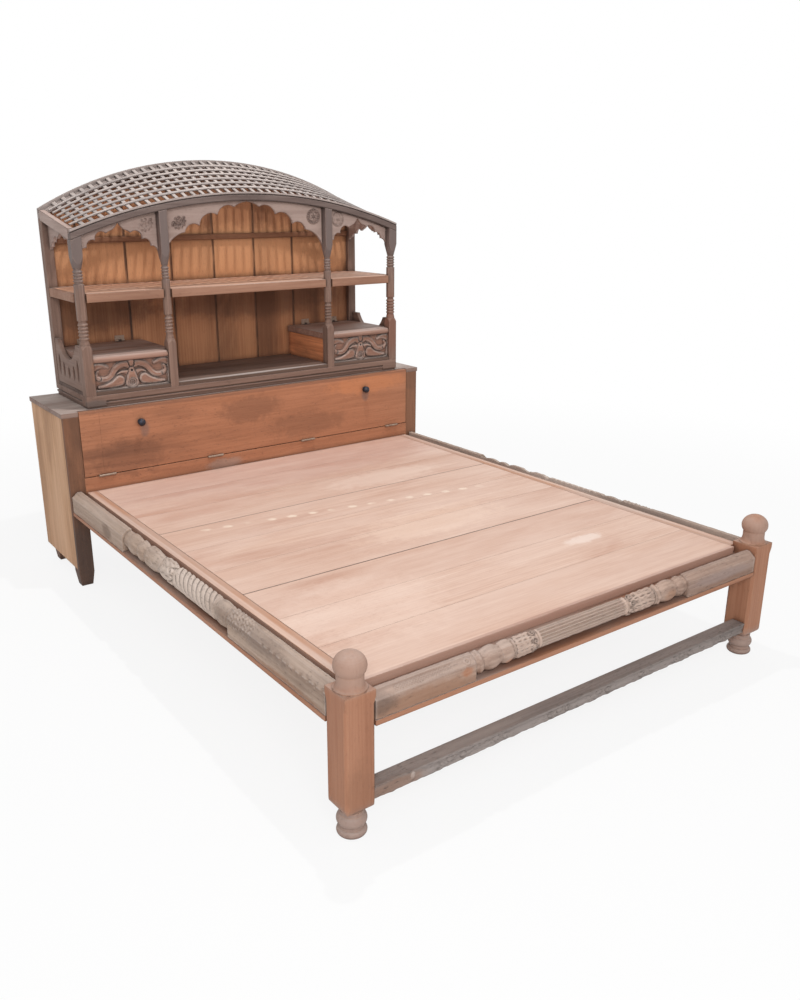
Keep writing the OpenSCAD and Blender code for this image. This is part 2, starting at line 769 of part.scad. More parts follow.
module lid_leaves(side) {
    color("dimgray") on_side(side) for (t = lid_hinge_places)
        translate([lid_mid_x(t), lid_axis_y, lid_axis_z]) difference() {
            union() {
                knuckles(lid_hinge_l, lid_knuckle_r, false);
                tongues(lid_hinge_l, false, [-lid_knuckle_r - 1.6, lid_top - lid_axis_z],
                    [0, lid_top - lid_axis_z + leaf_t]);
                block([-lid_hinge_l / 2, -leaf_w, lid_top - lid_axis_z],
                    [lid_hinge_l / 2, -lid_knuckle_r - 0.6, lid_top - lid_axis_z + leaf_t]);
            }
            bore(lid_hinge_l);
        }
}

// Cabinet base, floor and posts

module cabinet_base() {
    beam_w = 60;
    layers = [[0, 0.28, 4], [0.28, 0.42, 1], [0.42, 0.55, 6], [0.55, 1, 0]];
    corner_block_w = 80;
    color("dimgray") {
        for (l = layers) translate([0, 0, box_h + l[0] * base_h])
            linear_extrude((l[1] - l[0]) * base_h) difference() {
                translate([-cab_x + l[2], cab_y + l[2]]) square([cab_w - 2 * l[2], cab_d - 2 * l[2]]);
                translate([-cab_x + beam_w, cab_y + beam_w]) square([cab_w - 2 * beam_w, cab_d - 2 * beam_w]);
            }
        for (s = [-1, 1]) on_side(s)
            block([cab_x - corner_block_w, cab_y, box_h + 0.15 * base_h], [cab_x, cab_y + beam_w, base_top - 1]);
    }
}

// Clear space round the six posts at floor or shelf level
module post_space(z0, z1, gap) {
    for (s = [-1, 1]) on_side(s) {
        block([corner_in_x - gap, cab_y - 5, z0], [cab_x + 5, front_in_y + gap, z1]);
        block([middle_in_x - gap, cab_y - 5, z0], [middle_out_x + gap, front_in_y + gap, z1]);
        block([rear_in_x - gap, rear_in_y - gap, z0], [cab_x + 5, cab_back_y + 5, z1]);
    }
}

module cabinet_floor() {
    color("saddlebrown") difference() {
        block([-cab_x + 1, cab_y + 2, base_top], [cab_x - 1, cab_back_y - 1, floor_top]);
        post_space(base_top - 1, floor_top + 1, seat_gap);
    }
}

// Turned length of a front post: beads, octagon and beads again
module turned_middle(r, z0, z1) {
    beads = 5;
    bead_h = 14;
    bead_z = z0 + 18;
    oct_z0 = bead_z + beads * bead_h + 8;
    top_beads = 4;
    top_bead_h = 12;
    oct_z1 = z1 - top_beads * top_bead_h - 12;
    flat_r = (r - 1.5) / cos(22.5);
    rotate_extrude($fn = 48) polygon([[0, z0], [r, z0], [r - 3, bead_z - 4],
        for (i = [0:beads - 1]) each swell(bead_z + i * bead_h, bead_z + (i + 1) * bead_h - 2, r - 4, r, 4),
        [r - 5, oct_z0 - 4], [r - 3, oct_z0 + 3], [0, oct_z0 + 3]]);
    rotate_extrude($fn = 48) polygon([[0, oct_z1 - 3], [r - 3, oct_z1 - 3], [r - 5, oct_z1 + 3],
        for (i = [0:top_beads - 1])
            each swell(oct_z1 + 6 + i * top_bead_h, oct_z1 + 4 + (i + 1) * top_bead_h, r - 5, r - 1, 4),
        [r - 6, z1 - 3], [r - 2, z1 + 1], [0, z1 + 1]]);
    translate([0, 0, oct_z0]) rotate([0, 0, 22.5]) cylinder(r = flat_r, h = oct_z1 - oct_z0, $fn = 8);
}

// Front post centred at x, its top cut to the roof by the caller
module front_post_body(x, w) {
    r = w / 2 - 0.5;
    tongue = 24;
    taper = 54;
    turned_top = upper_square_z - taper;
    translate([x - w / 2, cab_y, 0]) {
        block([0, 0, base_top], [w, front_post_d, lower_square_top]);
        intersection() {
            block([0, 0, lower_square_top - 1], [w, front_post_d, lower_square_top + tongue]);
            translate([w / 2, front_post_d / 2, lower_square_top - 1])
                cylinder(r1 = w * 0.75, r2 = r - 2, h = tongue + 1, $fn = 48);
        }
        translate([w / 2, front_post_d / 2, 0]) turned_middle(r, lower_square_top + tongue - 1, turned_top);
        intersection() {
            block([0, 0, turned_top], [w, front_post_d, upper_square_z + 1]);
            translate([w / 2, front_post_d / 2, turned_top])
                cylinder(r1 = r - 4, r2 = w * 0.75, h = taper + 1, $fn = 48);
        }
        block([0, 0, upper_square_z], [w, front_post_d, front_crown_z]);
    }
}

// Everything at or above the underside of the front arc board, from y0 to y1
module above_front_arc(y0, y1) {
    difference() {
        block([-cab_x - side_clear, y0, shelf_top], [cab_x + side_clear, y1, rear_crown_z + roof_clear]);
        translate([0, y1 + 1, front_centre_z]) rotate([90, 0, 0])
            cylinder(r = front_r - arc_board_h, h = y1 - y0 + 2, $fn = arc_steps);
    }
}

module above_rear_arc(y0, y1) {
    difference() {
        block([-cab_x - side_clear, y0, shelf_top], [cab_x + side_clear, y1, rear_crown_z + roof_clear]);
        translate([0, y1 + 1, rear_centre_z]) rotate([90, 0, 0])
            cylinder(r = rear_r - arc_board_h, h = y1 - y0 + 2, $fn = arc_steps);
    }
}

// Everything at or above the underside of an eave plate
module above_eave(y0, y1) {
    top = rear_crown_z + roof_clear;
    along_x(cab_x - 2 * corner_post_w, cab_x + side_clear)
        polygon([[y0, eave_top(y0) - eave_h], [y1, eave_top(y1) - eave_h], [y1, top], [y0, top]]);
}

module corner_post(side) {
    color("gray") on_side(side) difference() {
        front_post_body(cab_x - corner_post_w / 2, corner_post_w);
        above_front_arc(cab_y - 5, arc_front_back_y);
        above_eave(arc_front_back_y, front_in_y + 5);
    }
}

module middle_post(side) {
    color("gray") on_side(side) difference() {
        front_post_body(middle_x, middle_post_w);
        above_front_arc(cab_y - 5, front_in_y + 5);
    }
}

module rear_posts() {
    color("dimgray") for (s = [-1, 1]) on_side(s) difference() {
        block([rear_in_x, rear_in_y, base_top], [cab_x, cab_back_y, rear_eave_z + 60]);
        above_eave(rear_in_y - 5, arc_rear_front_y);
        above_rear_arc(arc_rear_front_y, cab_back_y + 5);
    }
}

// Shelf and back

module shelf() {
    side_x = cab_x - edging_side_inset - edging_t;
    color("saddlebrown") difference() {
        block([-side_x, edging_y + edging_t, shelf_top - shelf_t], [side_x, plank_y, shelf_top]);
        post_space(shelf_top - shelf_t - 1, shelf_top + 1, seat_gap);
    }
}

module shelf_edging() {
    z0 = shelf_top - edging_h;
    color("darkorange") for (s = [-1, 1]) on_side(s) {
        block([middle_out_x + seat_gap, edging_y, z0], [corner_in_x - seat_gap, edging_y + edging_t, shelf_top]);
        block([railing_x - edging_t, front_in_y + seat_gap, z0], [railing_x, rear_in_y - seat_gap, shelf_top]);
    }
    color("darkorange") block([-middle_in_x + seat_gap, edging_y, z0],
        [middle_in_x - seat_gap, edging_y + edging_t, shelf_top]);
}

// Joints between the back planks, counted from the middle
plank_halves = ceil(rear_in_x / plank_pitch);
function plank_edge(i) = max(-rear_in_x, min(rear_in_x, i * plank_pitch));

module back_planks() {
    color("chocolate") for (i = [-plank_halves:plank_halves - 1])
        block([plank_edge(i) + (i > -plank_halves ? plank_gap / 2 : 0), plank_y, floor_top],
            [plank_edge(i + 1) - (i < plank_halves - 1 ? plank_gap / 2 : 0), plank_y + plank_t, back_joint_z - 1]);
}

module back_boards_upper() {
    color("sienna") difference() {
        for (i = [-plank_halves:plank_halves - 1])
            block([plank_edge(i) + (i > -plank_halves ? plank_gap / 2 : 0), plank_y, back_joint_z + 1],
                [plank_edge(i + 1) - (i < plank_halves - 1 ? plank_gap / 2 : 0), plank_y + plank_t,
                    rear_crown_z]);
        above_rear_arc(plank_y - 5, plank_y + plank_t + 5);
    }
}

module back_rail() {
    rail_t = 12;
    half_h = 11;
    color("saddlebrown") block([-rear_in_x, plank_y - rail_t, back_joint_z - half_h],
        [rear_in_x, plank_y, back_joint_z + half_h]);
}

// Corner boxes

// Carving of a corner box front, centred on its bottom edge: a ring, a bud, two arms and two curled leaves
module front_carving() {
    ring_r = 20;
    ring_z = 32;
    leaf_x = 84;
    leaf_r = 25;
    difference() {
        translate([0, ring_z]) circle(ring_r, $fn = smooth);
        translate([0, ring_z]) circle(ring_r - 6, $fn = smooth);
    }
    translate([0, ring_z]) circle(7, $fn = 32);
    translate([0, corner_front_h - 24]) circle(12, $fn = 32);
    for (s = [-1, 1]) scale_x(s) {
        difference() {
            translate([52, -60]) circle(160, $fn = smooth);
            translate([49, -66]) circle(158, $fn = smooth);
            translate([-200, -250]) square([208, 500]);
            translate([-100, -250]) square([300, 260]);
        }
        difference() {
            union() {
                translate([leaf_x, 36]) circle(leaf_r, $fn = smooth);
                polygon([[leaf_x - 8, 59], [leaf_x + 44, 74], [leaf_x + 24, 32]]);
            }
            translate([leaf_x - 3, 35]) circle(leaf_r / 3, $fn = 32);
        }
        translate([leaf_x + 42, 22]) circle(10, $fn = 32);
    }
}

module corner_box_fronts() {
    y0 = cab_y + 12;
    edge = 9;
    relief = 3;
    color("sienna") for (s = [-1, 1]) on_side(s) {
        difference() {
            block([middle_out_x, y0, floor_top], [corner_in_x, y0 + corner_wall_t, lid_z]);
            block([middle_out_x + edge, y0 - 1, floor_top + edge], [corner_in_x - edge, y0 + relief, lid_z - edge]);
        }
        along_y(y0 + 0.5, y0 + relief + 1) intersection() {
            translate([(middle_out_x + corner_in_x) / 2, floor_top]) front_carving();
            translate([middle_out_x + 1, floor_top + 1])
                square([corner_in_x - middle_out_x - 2, corner_front_h - 2]);
        }
    }
}

module corner_box_sides() {
    color("chocolate") for (s = [-1, 1]) on_side(s)
        block([middle_x - corner_wall_t / 2, front_in_y, floor_top],
            [middle_x + corner_wall_t / 2, plank_y, lid_z]);
}

module lid(side) {
    inner = middle_x - corner_wall_t / 2 - 6;
    outer = railing_x - railing_t - lid_gap;
    front = cab_y + 4;
    nose = lid_t / 2;
    notch_y = front_in_y + lid_gap + 1.5;
    color("rosybrown") on_side(side) difference() {
        along_x(inner, outer) union() {
            translate([front + nose, lid_z + seat_gap]) square([lid_back_y - front - nose, lid_t - seat_gap]);
            translate([front + nose, lid_z + nose]) circle(nose - seat_gap, $fn = smooth);
        }
        block([inner - 1, front - 1, lid_z - 1], [middle_out_x + lid_gap, notch_y, lid_top + 1]);
        block([corner_in_x - lid_gap, front - 1, lid_z - 1], [outer + 1, notch_y, lid_top + 1]);
        block([rear_in_x - lid_gap, rear_in_y - lid_gap - 1.5, lid_z - 1], [outer + 1, lid_back_y + 1, lid_top + 1]);
    }
}

// Leaf shape standing on its point, centred at the origin
module leaf_hole(w, h) {
    r = (w * w + h * h) / (4 * w);
    intersection_for(s = [-1, 1]) translate([s * (r - w / 2), 0]) circle(r, $fn = smooth);
}

// Side railing, high at both ends and dipping to the middle
module railing_outline(length) {
    dip = railing_end_h - railing_mid_h;
    dip_half = length * 0.36;
    dip_r = (dip_half * dip_half + dip * dip) / (2 * dip);
    leaf_w = 26;
    end_leaf_h = 96;
    leaf_places = [0.13, 0.3, 0.5, 0.7, 0.87];
    leaf_heights = [end_leaf_h, 0.68 * end_leaf_h, 0.56 * end_leaf_h, 0.68 * end_leaf_h, end_leaf_h];
    leaf_foot = 30;
    difference() {
        square([length, railing_end_h]);
        translate([length / 2, railing_mid_h + dip_r]) circle(dip_r, $fn = 128);
        for (i = [0:4]) translate([length * leaf_places[i], leaf_foot + leaf_heights[i] / 2])
            leaf_hole(leaf_w, leaf_heights[i]);
    }
}

module side_railing(side) {
    length = rear_in_y - front_in_y;
    color("gray") on_side(side) {
        along_x(railing_x - railing_t, railing_x) translate([front_in_y, floor_top]) railing_outline(length);
    }
}

// Arch boards

// Cusps of one side of an arch, from its crown to its post. Each is [distance from the middle, drop
// below the crown, bulge of the lobe before it]: the first two are shares of the arch's half width and
// the bulge is a share of the lobe's own width.
centre_cusps = [[0.157, 0.068, 0.17], [0.37, 0.15, 0.24], [0.592, 0.262, 0.27], [0.771, 0.328, 0.27],
    [1, 0.516, 0.14]];
bay_cusps = [[0.31, 0.27, 0.16], [0.6, 0.43, 0.36], [0.82, 0.6, 0.3], [1, 0.737, 0.2]];
end_cusps = [[0.31, 0.24, 0.16], [0.6, 0.34, 0.34], [0.82, 0.46, 0.28], [1, 0.56, 0.2]];
centre_point = 0.03;
bay_point = 0.221;
end_point = 0.192;

// Circle that bulges upwards from the line between two points
module lobe(p, q, bulge) {
    chord = norm(q - p);
    sag = bulge * chord;
    r = (chord * chord / 4 + sag * sag) / (2 * sag);
    across = (q - p) / chord;
    translate((p + q) / 2 + (r - sag) * [across[1], -across[0]]) circle(r, $fn = 48);
}

// Opening of a cusped arch
module lobed_opening(half, crown_z, low_z, cusps) {
    points = [for (c = cusps) [half * c[0], crown_z - half * c[1]]];
    last = len(points) - 1;
    lobe([-points[0][0], points[0][1]], points[0], cusps[0][2]);
    for (s = [-1, 1]) scale_x(s) {
        for (i = [1:last]) lobe(points[i - 1], points[i], cusps[i][2]);
        polygon([[-1, points[0][1]], each points, [half, low_z - 5], [-1, low_z - 5]]);
    }
}

// Small pointed top of an arch, its sides hollow
module arch_point(w, tip_z) {
    polygon([[-w, tip_z - w], [-w * 0.4, tip_z - w * 0.55], [0, tip_z], [w * 0.4, tip_z - w * 0.55],
        [w, tip_z - w]]);
}

module scale_x(s) {
    mirror([s < 0 ? 1 : 0, 0]) children();
}

rosette_r = 34;
rosette_in = 69;
rosette_drop = 71;

module rosette(x, z) {
    petals = 8;
    translate([x, cab_y + arc_board_t, z]) rotate([90, 0, 0]) {
        difference() {
            cylinder(r = rosette_r, h = 4, $fn = smooth);
            translate([0, 0, 2]) cylinder(r = rosette_r - 4, h = 4, $fn = smooth);
        }
        cylinder(r = 8, h = 6, $fn = 32);
        for (i = [0:petals - 1]) rotate([0, 0, 360 * i / petals])
            translate([19, 0, 0]) cylinder(r = 6.5, h = 4.5, $fn = 24);
    }
}

// Everything below the line where the arch boards meet the front arc board
module under_front_arc() {
    bite = 4;
    translate([0, arc_front_back_y + arch_t + 1, front_centre_z]) rotate([90, 0, 0])
        cylinder(r = front_r - front_ledge - bite, h = arch_t + 2, $fn = arc_steps);
}

module arch_centre() {
    crown = front_arc(0, arc_board_h);
    low_z = upper_square_z;
    color("gray") {
        intersection() {
            along_y(arc_front_back_y, arc_front_back_y + arch_t) difference() {
                translate([-middle_in_x, low_z]) square([middle_spacing - middle_post_w, front_crown_z - low_z]);
                lobed_opening(middle_in_x, crown, low_z, centre_cusps);
                arch_point(middle_in_x * centre_point, crown);
            }
            under_front_arc();
        }
        for (s = [-1, 1]) rosette(s * (middle_in_x - rosette_in), crown - rosette_drop);
    }
}

module arch_bay(side) {
    half = (corner_in_x - middle_out_x) / 2;
    mid = (corner_in_x + middle_out_x) / 2;
    crown = front_arc(mid, arc_board_h);
    low_z = upper_square_z;
    color("gray") on_side(side) intersection() {
        translate([mid, 0, 0]) along_y(arc_front_back_y, arc_front_back_y + arch_t) difference() {
            translate([-half, low_z]) square([2 * half, front_crown_z - low_z]);
            lobed_opening(half, crown, low_z, bay_cusps);
            arch_point(half * bay_point, crown - 4);
        }
        under_front_arc();
    }
}

module arch_side(side) {
    half = (rear_in_y - front_in_y) / 2;
    mid = (rear_in_y + front_in_y) / 2;
    crown = eave_top(mid) - eave_h;
    low_z = upper_square_z - 10;
    top_drop = 22;
    color("gray") on_side(side) along_x(eave_in_x - arch_t, eave_in_x) difference() {
        polygon([[front_in_y, low_z], [rear_in_y, low_z], [rear_in_y, eave_top(rear_in_y) - top_drop],
            [front_in_y, eave_top(front_in_y) - top_drop]]);
        translate([mid, 0]) {
            lobed_opening(half, crown, low_z, end_cusps);
            arch_point(half * end_point, crown);
        }
    }
}

// Arc boards, eave plates and lattice

// Band between two circles about the same centre, cut off at the cabinet's sides
module arc_band(r, h, centre_z) {
    intersection() {
        translate([0, centre_z]) difference() {
            circle(r, $fn = arc_steps);
            circle(r - h, $fn = arc_steps);
        }
        translate([-cab_x, centre_z + r / 2]) square([cab_w, r]);
    }
}

module arc_board_front() {
    groove_drop = 9;
    groove_w = 3;
    groove_depth = 2.5;
    color("gray") {
        along_y(cab_y, cab_y + groove_depth) difference() {
            arc_band(front_r, arc_board_h, front_centre_z);
            arc_band(front_r - groove_drop, groove_w, front_centre_z);
        }
        along_y(cab_y + groove_depth, cab_y + arc_lip_t) arc_band(front_r, arc_board_h, front_centre_z);
        along_y(cab_y + arc_lip_t - e, arc_front_back_y)
            arc_band(front_r - front_ledge, arc_board_h - front_ledge, front_centre_z);
    }
}

module arc_board_rear() {
    color("gray") {
        along_y(cab_back_y - arc_lip_t, cab_back_y) arc_band(rear_r, arc_board_h, rear_centre_z);
        along_y(arc_rear_front_y, cab_back_y - arc_lip_t + e)
            arc_band(rear_r - rear_ledge, arc_board_h - rear_ledge, rear_centre_z);
    }
}

module eave_plates() {
    y0 = arc_front_back_y;
    y1 = arc_rear_front_y;
    color("gray") for (s = [-1, 1]) on_side(s) along_x(eave_in_x, cab_x)
        polygon([[y0, eave_top(y0) - eave_h], [y1, eave_top(y1) - eave_h], [y1, eave_top(y1)], [y0, eave_top(y0)]]);
}

// Closed bar through a row of four-cornered sections
module bar(sections) {
    n = len(sections);
    points = [for (s = sections) each s];
    sides = [for (i = [0:n - 2]) for (k = [0:3]) let (a = 4 * i + k, b = 4 * i + (k + 1) % 4)
        each [[a, b, b + 4], [a, b + 4, a + 4]]];
    last = 4 * (n - 1);
    polyhedron(points = points, faces = concat([[3, 2, 1], [3, 1, 0]], sides,
        [[last, last + 1, last + 2], [last, last + 2, last + 3]]));
}

// Cross section of a lattice bar at one place: width along X or Y
function rib_section(x, y) = let (h = slat_w / 2) [[x - h, y, rib_z(x - h, y)], [x + h, y, rib_z(x + h, y)],
    [x + h, y, rib_z(x + h, y) + rib_t], [x - h, y, rib_z(x - h, y) + rib_t]];
function strip_section(x, y) = let (h = slat_w / 2, low = rib_t + seat_gap) [
    [x, y + h, rib_z(x, y + h) + low], [x, y - h, rib_z(x, y - h) + low],
    [x, y - h, rib_z(x, y - h) + low + strip_t], [x, y + h, rib_z(x, y + h) + low + strip_t]];

rib_halves = floor((eave_in_x - slat_w) / rib_pitch);
strip_step = (rib_y1 - arc_front_back_y) / (strip_count + 1);
function strip_y(j) = arc_front_back_y + (j + 1) * strip_step;

// The ribs twist with the vault, so they have a section at both edges of each strip
module lattice_ribs() {
    places = [rib_y0, for (j = [0:strip_count - 1]) each [strip_y(j) - slat_w / 2, strip_y(j) + slat_w / 2],
        rib_y2];
    color("darkgray") for (i = [-rib_halves:rib_halves])
        bar([for (y = places) rib_section(i * rib_pitch, y)]);
}

module lattice_strips() {
    end_x = eave_in_x - 1;
    places = concat([-end_x], [for (i = [-rib_halves:rib_halves]) i * rib_pitch], [end_x]);
    color("darkgray") for (j = [0:strip_count - 1])
        bar([for (x = places) strip_section(x, strip_y(j))]);
}

foot_post(-1);  // foot_post_left
foot_post(1);  // foot_post_right
foot_rail();
foot_rail_column();
side_rail(-1);  // side_rail_left
side_rail(1);  // side_rail_right
side_column(-1);  // side_column_left
side_column(1);  // side_column_right
stretcher();
ledgers();
cross_bearers();
deck_panel(0);  // deck_panel_foot
deck_panel(1);  // deck_panel_middle
deck_panel(2);  // deck_panel_head
deck_rims();
box_legs_front();
box_legs_rear();
box_side(-1);  // box_side_left
box_side(1);  // box_side_right
box_front_rail();
box_bottom();
box_cleats();
box_back();
box_top();
flap();
flap_knobs();
hinge_fixed_leaves();
hinge_flap_leaves();
hinge_pins();
cabinet_base();
cabinet_floor();
corner_post(-1);  // corner_post_left
corner_post(1);  // corner_post_right
middle_post(-1);  // middle_post_left
middle_post(1);  // middle_post_right
rear_posts();
shelf();
shelf_edging();
back_planks();
back_rail();
back_boards_upper();
corner_box_fronts();
corner_box_sides();
lid(-1);  // lid_left
lid(1);  // lid_right
lid_leaves(-1);  // lid_leaves_left
lid_leaves(1);  // lid_leaves_right
side_railing(-1);  // side_railing_left
side_railing(1);  // side_railing_right
arch_centre();
arch_bay(-1);  // arch_bay_left
arch_bay(1);  // arch_bay_right
arch_side(-1);  // arch_side_left
arch_side(1);  // arch_side_right
arc_board_front();
arc_board_rear();
eave_plates();
lattice_ribs();
lattice_strips();
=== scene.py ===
# %% [markdown]
# # A carved teak bed
# The bed has four parts: a low platform between turned foot posts, a plank head box with a drop-down
# flap, a cabinet on top of the box, and a lattice vault over the cabinet. The boards, posts and turned
# pieces come ready made from the construction model, in metres and in their right places. This notebook
# gives each of them its finish, and carves the pieces whose surface is cut by hand.

# %% Load the joinery
import math
import bmesh
import bpy
import numpy as np
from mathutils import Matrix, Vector
from mathutils.geometry import delaunay_2d_cdt


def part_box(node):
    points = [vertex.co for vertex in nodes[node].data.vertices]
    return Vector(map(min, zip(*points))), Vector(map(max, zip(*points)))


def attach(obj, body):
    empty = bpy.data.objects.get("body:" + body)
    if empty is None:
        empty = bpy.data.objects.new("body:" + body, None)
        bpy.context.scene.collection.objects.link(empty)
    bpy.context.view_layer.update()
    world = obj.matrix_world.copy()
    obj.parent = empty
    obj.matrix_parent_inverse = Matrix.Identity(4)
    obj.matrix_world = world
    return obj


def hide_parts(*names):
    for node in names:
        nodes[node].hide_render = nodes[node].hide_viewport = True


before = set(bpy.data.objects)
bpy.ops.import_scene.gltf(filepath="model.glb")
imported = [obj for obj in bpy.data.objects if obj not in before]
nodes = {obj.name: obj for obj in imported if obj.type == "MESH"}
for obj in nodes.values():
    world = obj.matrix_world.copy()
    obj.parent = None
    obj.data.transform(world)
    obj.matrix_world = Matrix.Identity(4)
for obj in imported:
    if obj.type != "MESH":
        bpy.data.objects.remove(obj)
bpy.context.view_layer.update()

# %% [markdown]
# ## Camera
# The photo was taken at head height from the left of the foot end, with a slightly wide lens. A camera's
# place can be found by eye, but a bed has many straight edges, and a least-squares fit of their ends is
# quicker and closer. These are the numbers of that fit.

# %% Set the camera
def placed(name, data):
    """A new object in the scene that shows the data."""
    made = bpy.data.objects.new(name, data)
    bpy.context.collection.objects.link(made)
    return made


camera_data = bpy.data.cameras.new("camera")
camera_data.lens = 32.80
camera_data.shift_x = 0.0242
camera_data.shift_y = -0.0038
camera = placed("camera", camera_data)
camera.location = (-1.9549, -2.8270, 1.5679)
camera.rotation_euler = [math.radians(a) for a in (71.864, 0.121, -35.711)]
bpy.context.scene.camera = camera
bpy.context.scene.view_settings.view_transform = "Standard"
print("camera at", [round(v, 2) for v in camera.location])

# %% [markdown]
# ## Finishes as node trees
# Every finish here is a tree of shader nodes. Nodes can be placed by hand in the editor, but the many
# woods that differ in a few numbers are easier to keep alike with a small class that adds a node and
# joins its sockets in one call. Colours are written as they look on screen and turned into linear light.

# %% A finish and its colours
def colour(*rgb):
    """Screen colour from 0 to 255 as the linear RGBA that shaders work in."""
    linear = [c / 255 / 12.92 if c <= 10 else ((c / 255 + 0.055) / 1.055) ** 2.4 for c in rgb]
    return (*linear, 1.0)


class Finish:
    """A material whose nodes are added and joined one call at a time."""

    def __init__(self, name):
        self.material = bpy.data.materials.new(name)
        self.material.use_nodes = True
        self.tree = self.material.node_tree
        self.shader = self.tree.nodes["Principled BSDF"]
        self.place = self.node("TexCoord").outputs["Object"]

    def node(self, kind, inputs=(), **settings):
        made = self.tree.nodes.new("ShaderNode" + kind)
        for name, value in settings.items():
            setattr(made, name, value)
        for socket, value in dict(inputs).items():
            self.feed(made, socket, value)
        return made

    def feed(self, node, socket, value):
        if isinstance(value, bpy.types.NodeSocket):
            self.tree.links.new(value, node.inputs[socket])
        else:
            node.inputs[socket].default_value = value

    def math(self, operation, a, b=0.0):
        return self.node("Math", {0: a, 1: b}, operation=operation).outputs[0]

    def plus(self, a, b):
        return self.math("ADD", a, b)

    def minus(self, a, b):
        return self.math("SUBTRACT", a, b)

    def times(self, first, *others):
        for other in others:
            first = self.math("MULTIPLY", first, other)
        return first

    def hypot(self, a, b):
        """Distance that lies a one way and b at right angles to it."""
        return self.math("SQRT", self.plus(self.math("POWER", a, 2.0), self.math("POWER", b, 2.0)))

    def spread(self, value, low, high, to_low=0.0, to_high=1.0):
        """value moved from the range low..high to the range to_low..to_high, clamped."""
        return self.node("MapRange", {0: value, 1: low, 2: high, 3: to_low, 4: to_high},
                         interpolation_type="SMOOTHSTEP").outputs[0]

    def parts(self, vector):
        return self.node("SeparateXYZ", {0: vector}).outputs

    def vector(self, x, y, z):
        return self.node("CombineXYZ", {0: x, 1: y, 2: z}).outputs[0]

    def noise(self, vector, scale, detail=2.0, roughness=0.5, distortion=0.0):
        return self.node("TexNoise", {"Vector": vector, "Scale": scale, "Detail": detail,
                                      "Roughness": roughness, "Distortion": distortion}).outputs["Fac"]

    def mix(self, factor, a, b):
        return self.node("Mix", {0: factor, 6: a, 7: b}, data_type="RGBA").outputs[2]


print("finishes are built from", Finish.__name__)

# %% [markdown]
# ## Teak
# Old teak shows four scales of detail: broad patches where it was oiled or touched, the flame of the
# growth rings, long darker fibres, and fine pores. All of them run along the board, so the texture is
# laid out in plank space: metres along the grain, across it and into it. Noise that is drawn out along
# the grain gives fibres, and rings are the sine of the distance from a pith line that wanders a little.
# They are kept faint here. In the deck and the back planks each board gets its own random place and
# tone. Wear, dirt and painted light follow the shape: a Bevel node finds the edges, which take a worn
# colour, and painted shade on the arch boards. Ambient Occlusion finds the corners, which are darkened
# with dirt and painted shade, and Pointiness finds the crests of the carving, which take the worn
# colour as wear and painted highlight, and painted shade on the arch boards.

# %% Plank space
AXES = {"x": (0, 1, 2), "y": (1, 0, 2), "z": (2, 0, 1)}


def plank_space(finish, grain, board=None):
    """Sockets for metres along, across and into the grain, and a random number for each board."""
    parts = finish.parts(finish.place)
    along, across, deep = (parts[i] for i in AXES[grain])
    if board is None:
        return along, across, deep, None
    axis, start, step = board
    index = finish.math("FLOOR", finish.math("DIVIDE", finish.minus(parts["xyz".index(axis)], start), step))
    chance = finish.node("TexWhiteNoise", {"W": index}, noise_dimensions="1D").outputs["Value"]
    along = finish.plus(along, finish.times(chance, 9.0))
    deep = finish.plus(deep, finish.times(chance, 5.0))
    return along, across, deep, chance


def centred(finish, value, size):
    """Noise from 0 to 1 as a shift of up to size each way."""
    return finish.times(finish.minus(value, 0.5), 2 * size)


print("grain can run along", list(AXES))

# %% Patches in a set place
def patch_at(finish, centre, radii, ragged):
    """1 inside an ellipsoid, 0 outside it. ragged is how far its edge strays."""
    offset = finish.node("VectorMath", {0: finish.place, 1: centre}, operation="SUBTRACT").outputs[0]
    scaled = finish.node("VectorMath", {0: offset, 1: radii}, operation="DIVIDE").outputs[0]
    far = finish.node("VectorMath", {0: scaled}, operation="LENGTH").outputs["Value"]
    stray = centred(finish, finish.noise(finish.place, 20.0, 5.0, 0.7), ragged)
    return finish.spread(finish.plus(far, stray), 1.25, 0.6)


def patches(*marks):
    """A step of the finish that tints ellipsoids: centre, radii, colour, amount and raggedness of each."""
    def tint(finish, shade):
        for centre, radii, mark, amount, ragged in marks:
            inside = patch_at(finish, centre, radii, ragged)
            shade = finish.mix(finish.times(inside, amount), shade, colour(*mark))
        return shade
    return tint


def after(*steps):
    """Several steps of a finish, one after the other."""
    def all_steps(finish, shade):
        for step in steps:
            shade = step(finish, shade)
        return shade
    return all_steps


print("patches can be set")

# %% The teak finish
dust_grey = colour(196, 182, 174)
# Colour of the corners found by Ambient Occlusion: dirt and painted shade.
corner_dirt_and_shade = (0.012, 0.008, 0.006, 1)
ring_width = 0.011
pith_across, pith_deep = 0.02, 0.09
flame = 0.04


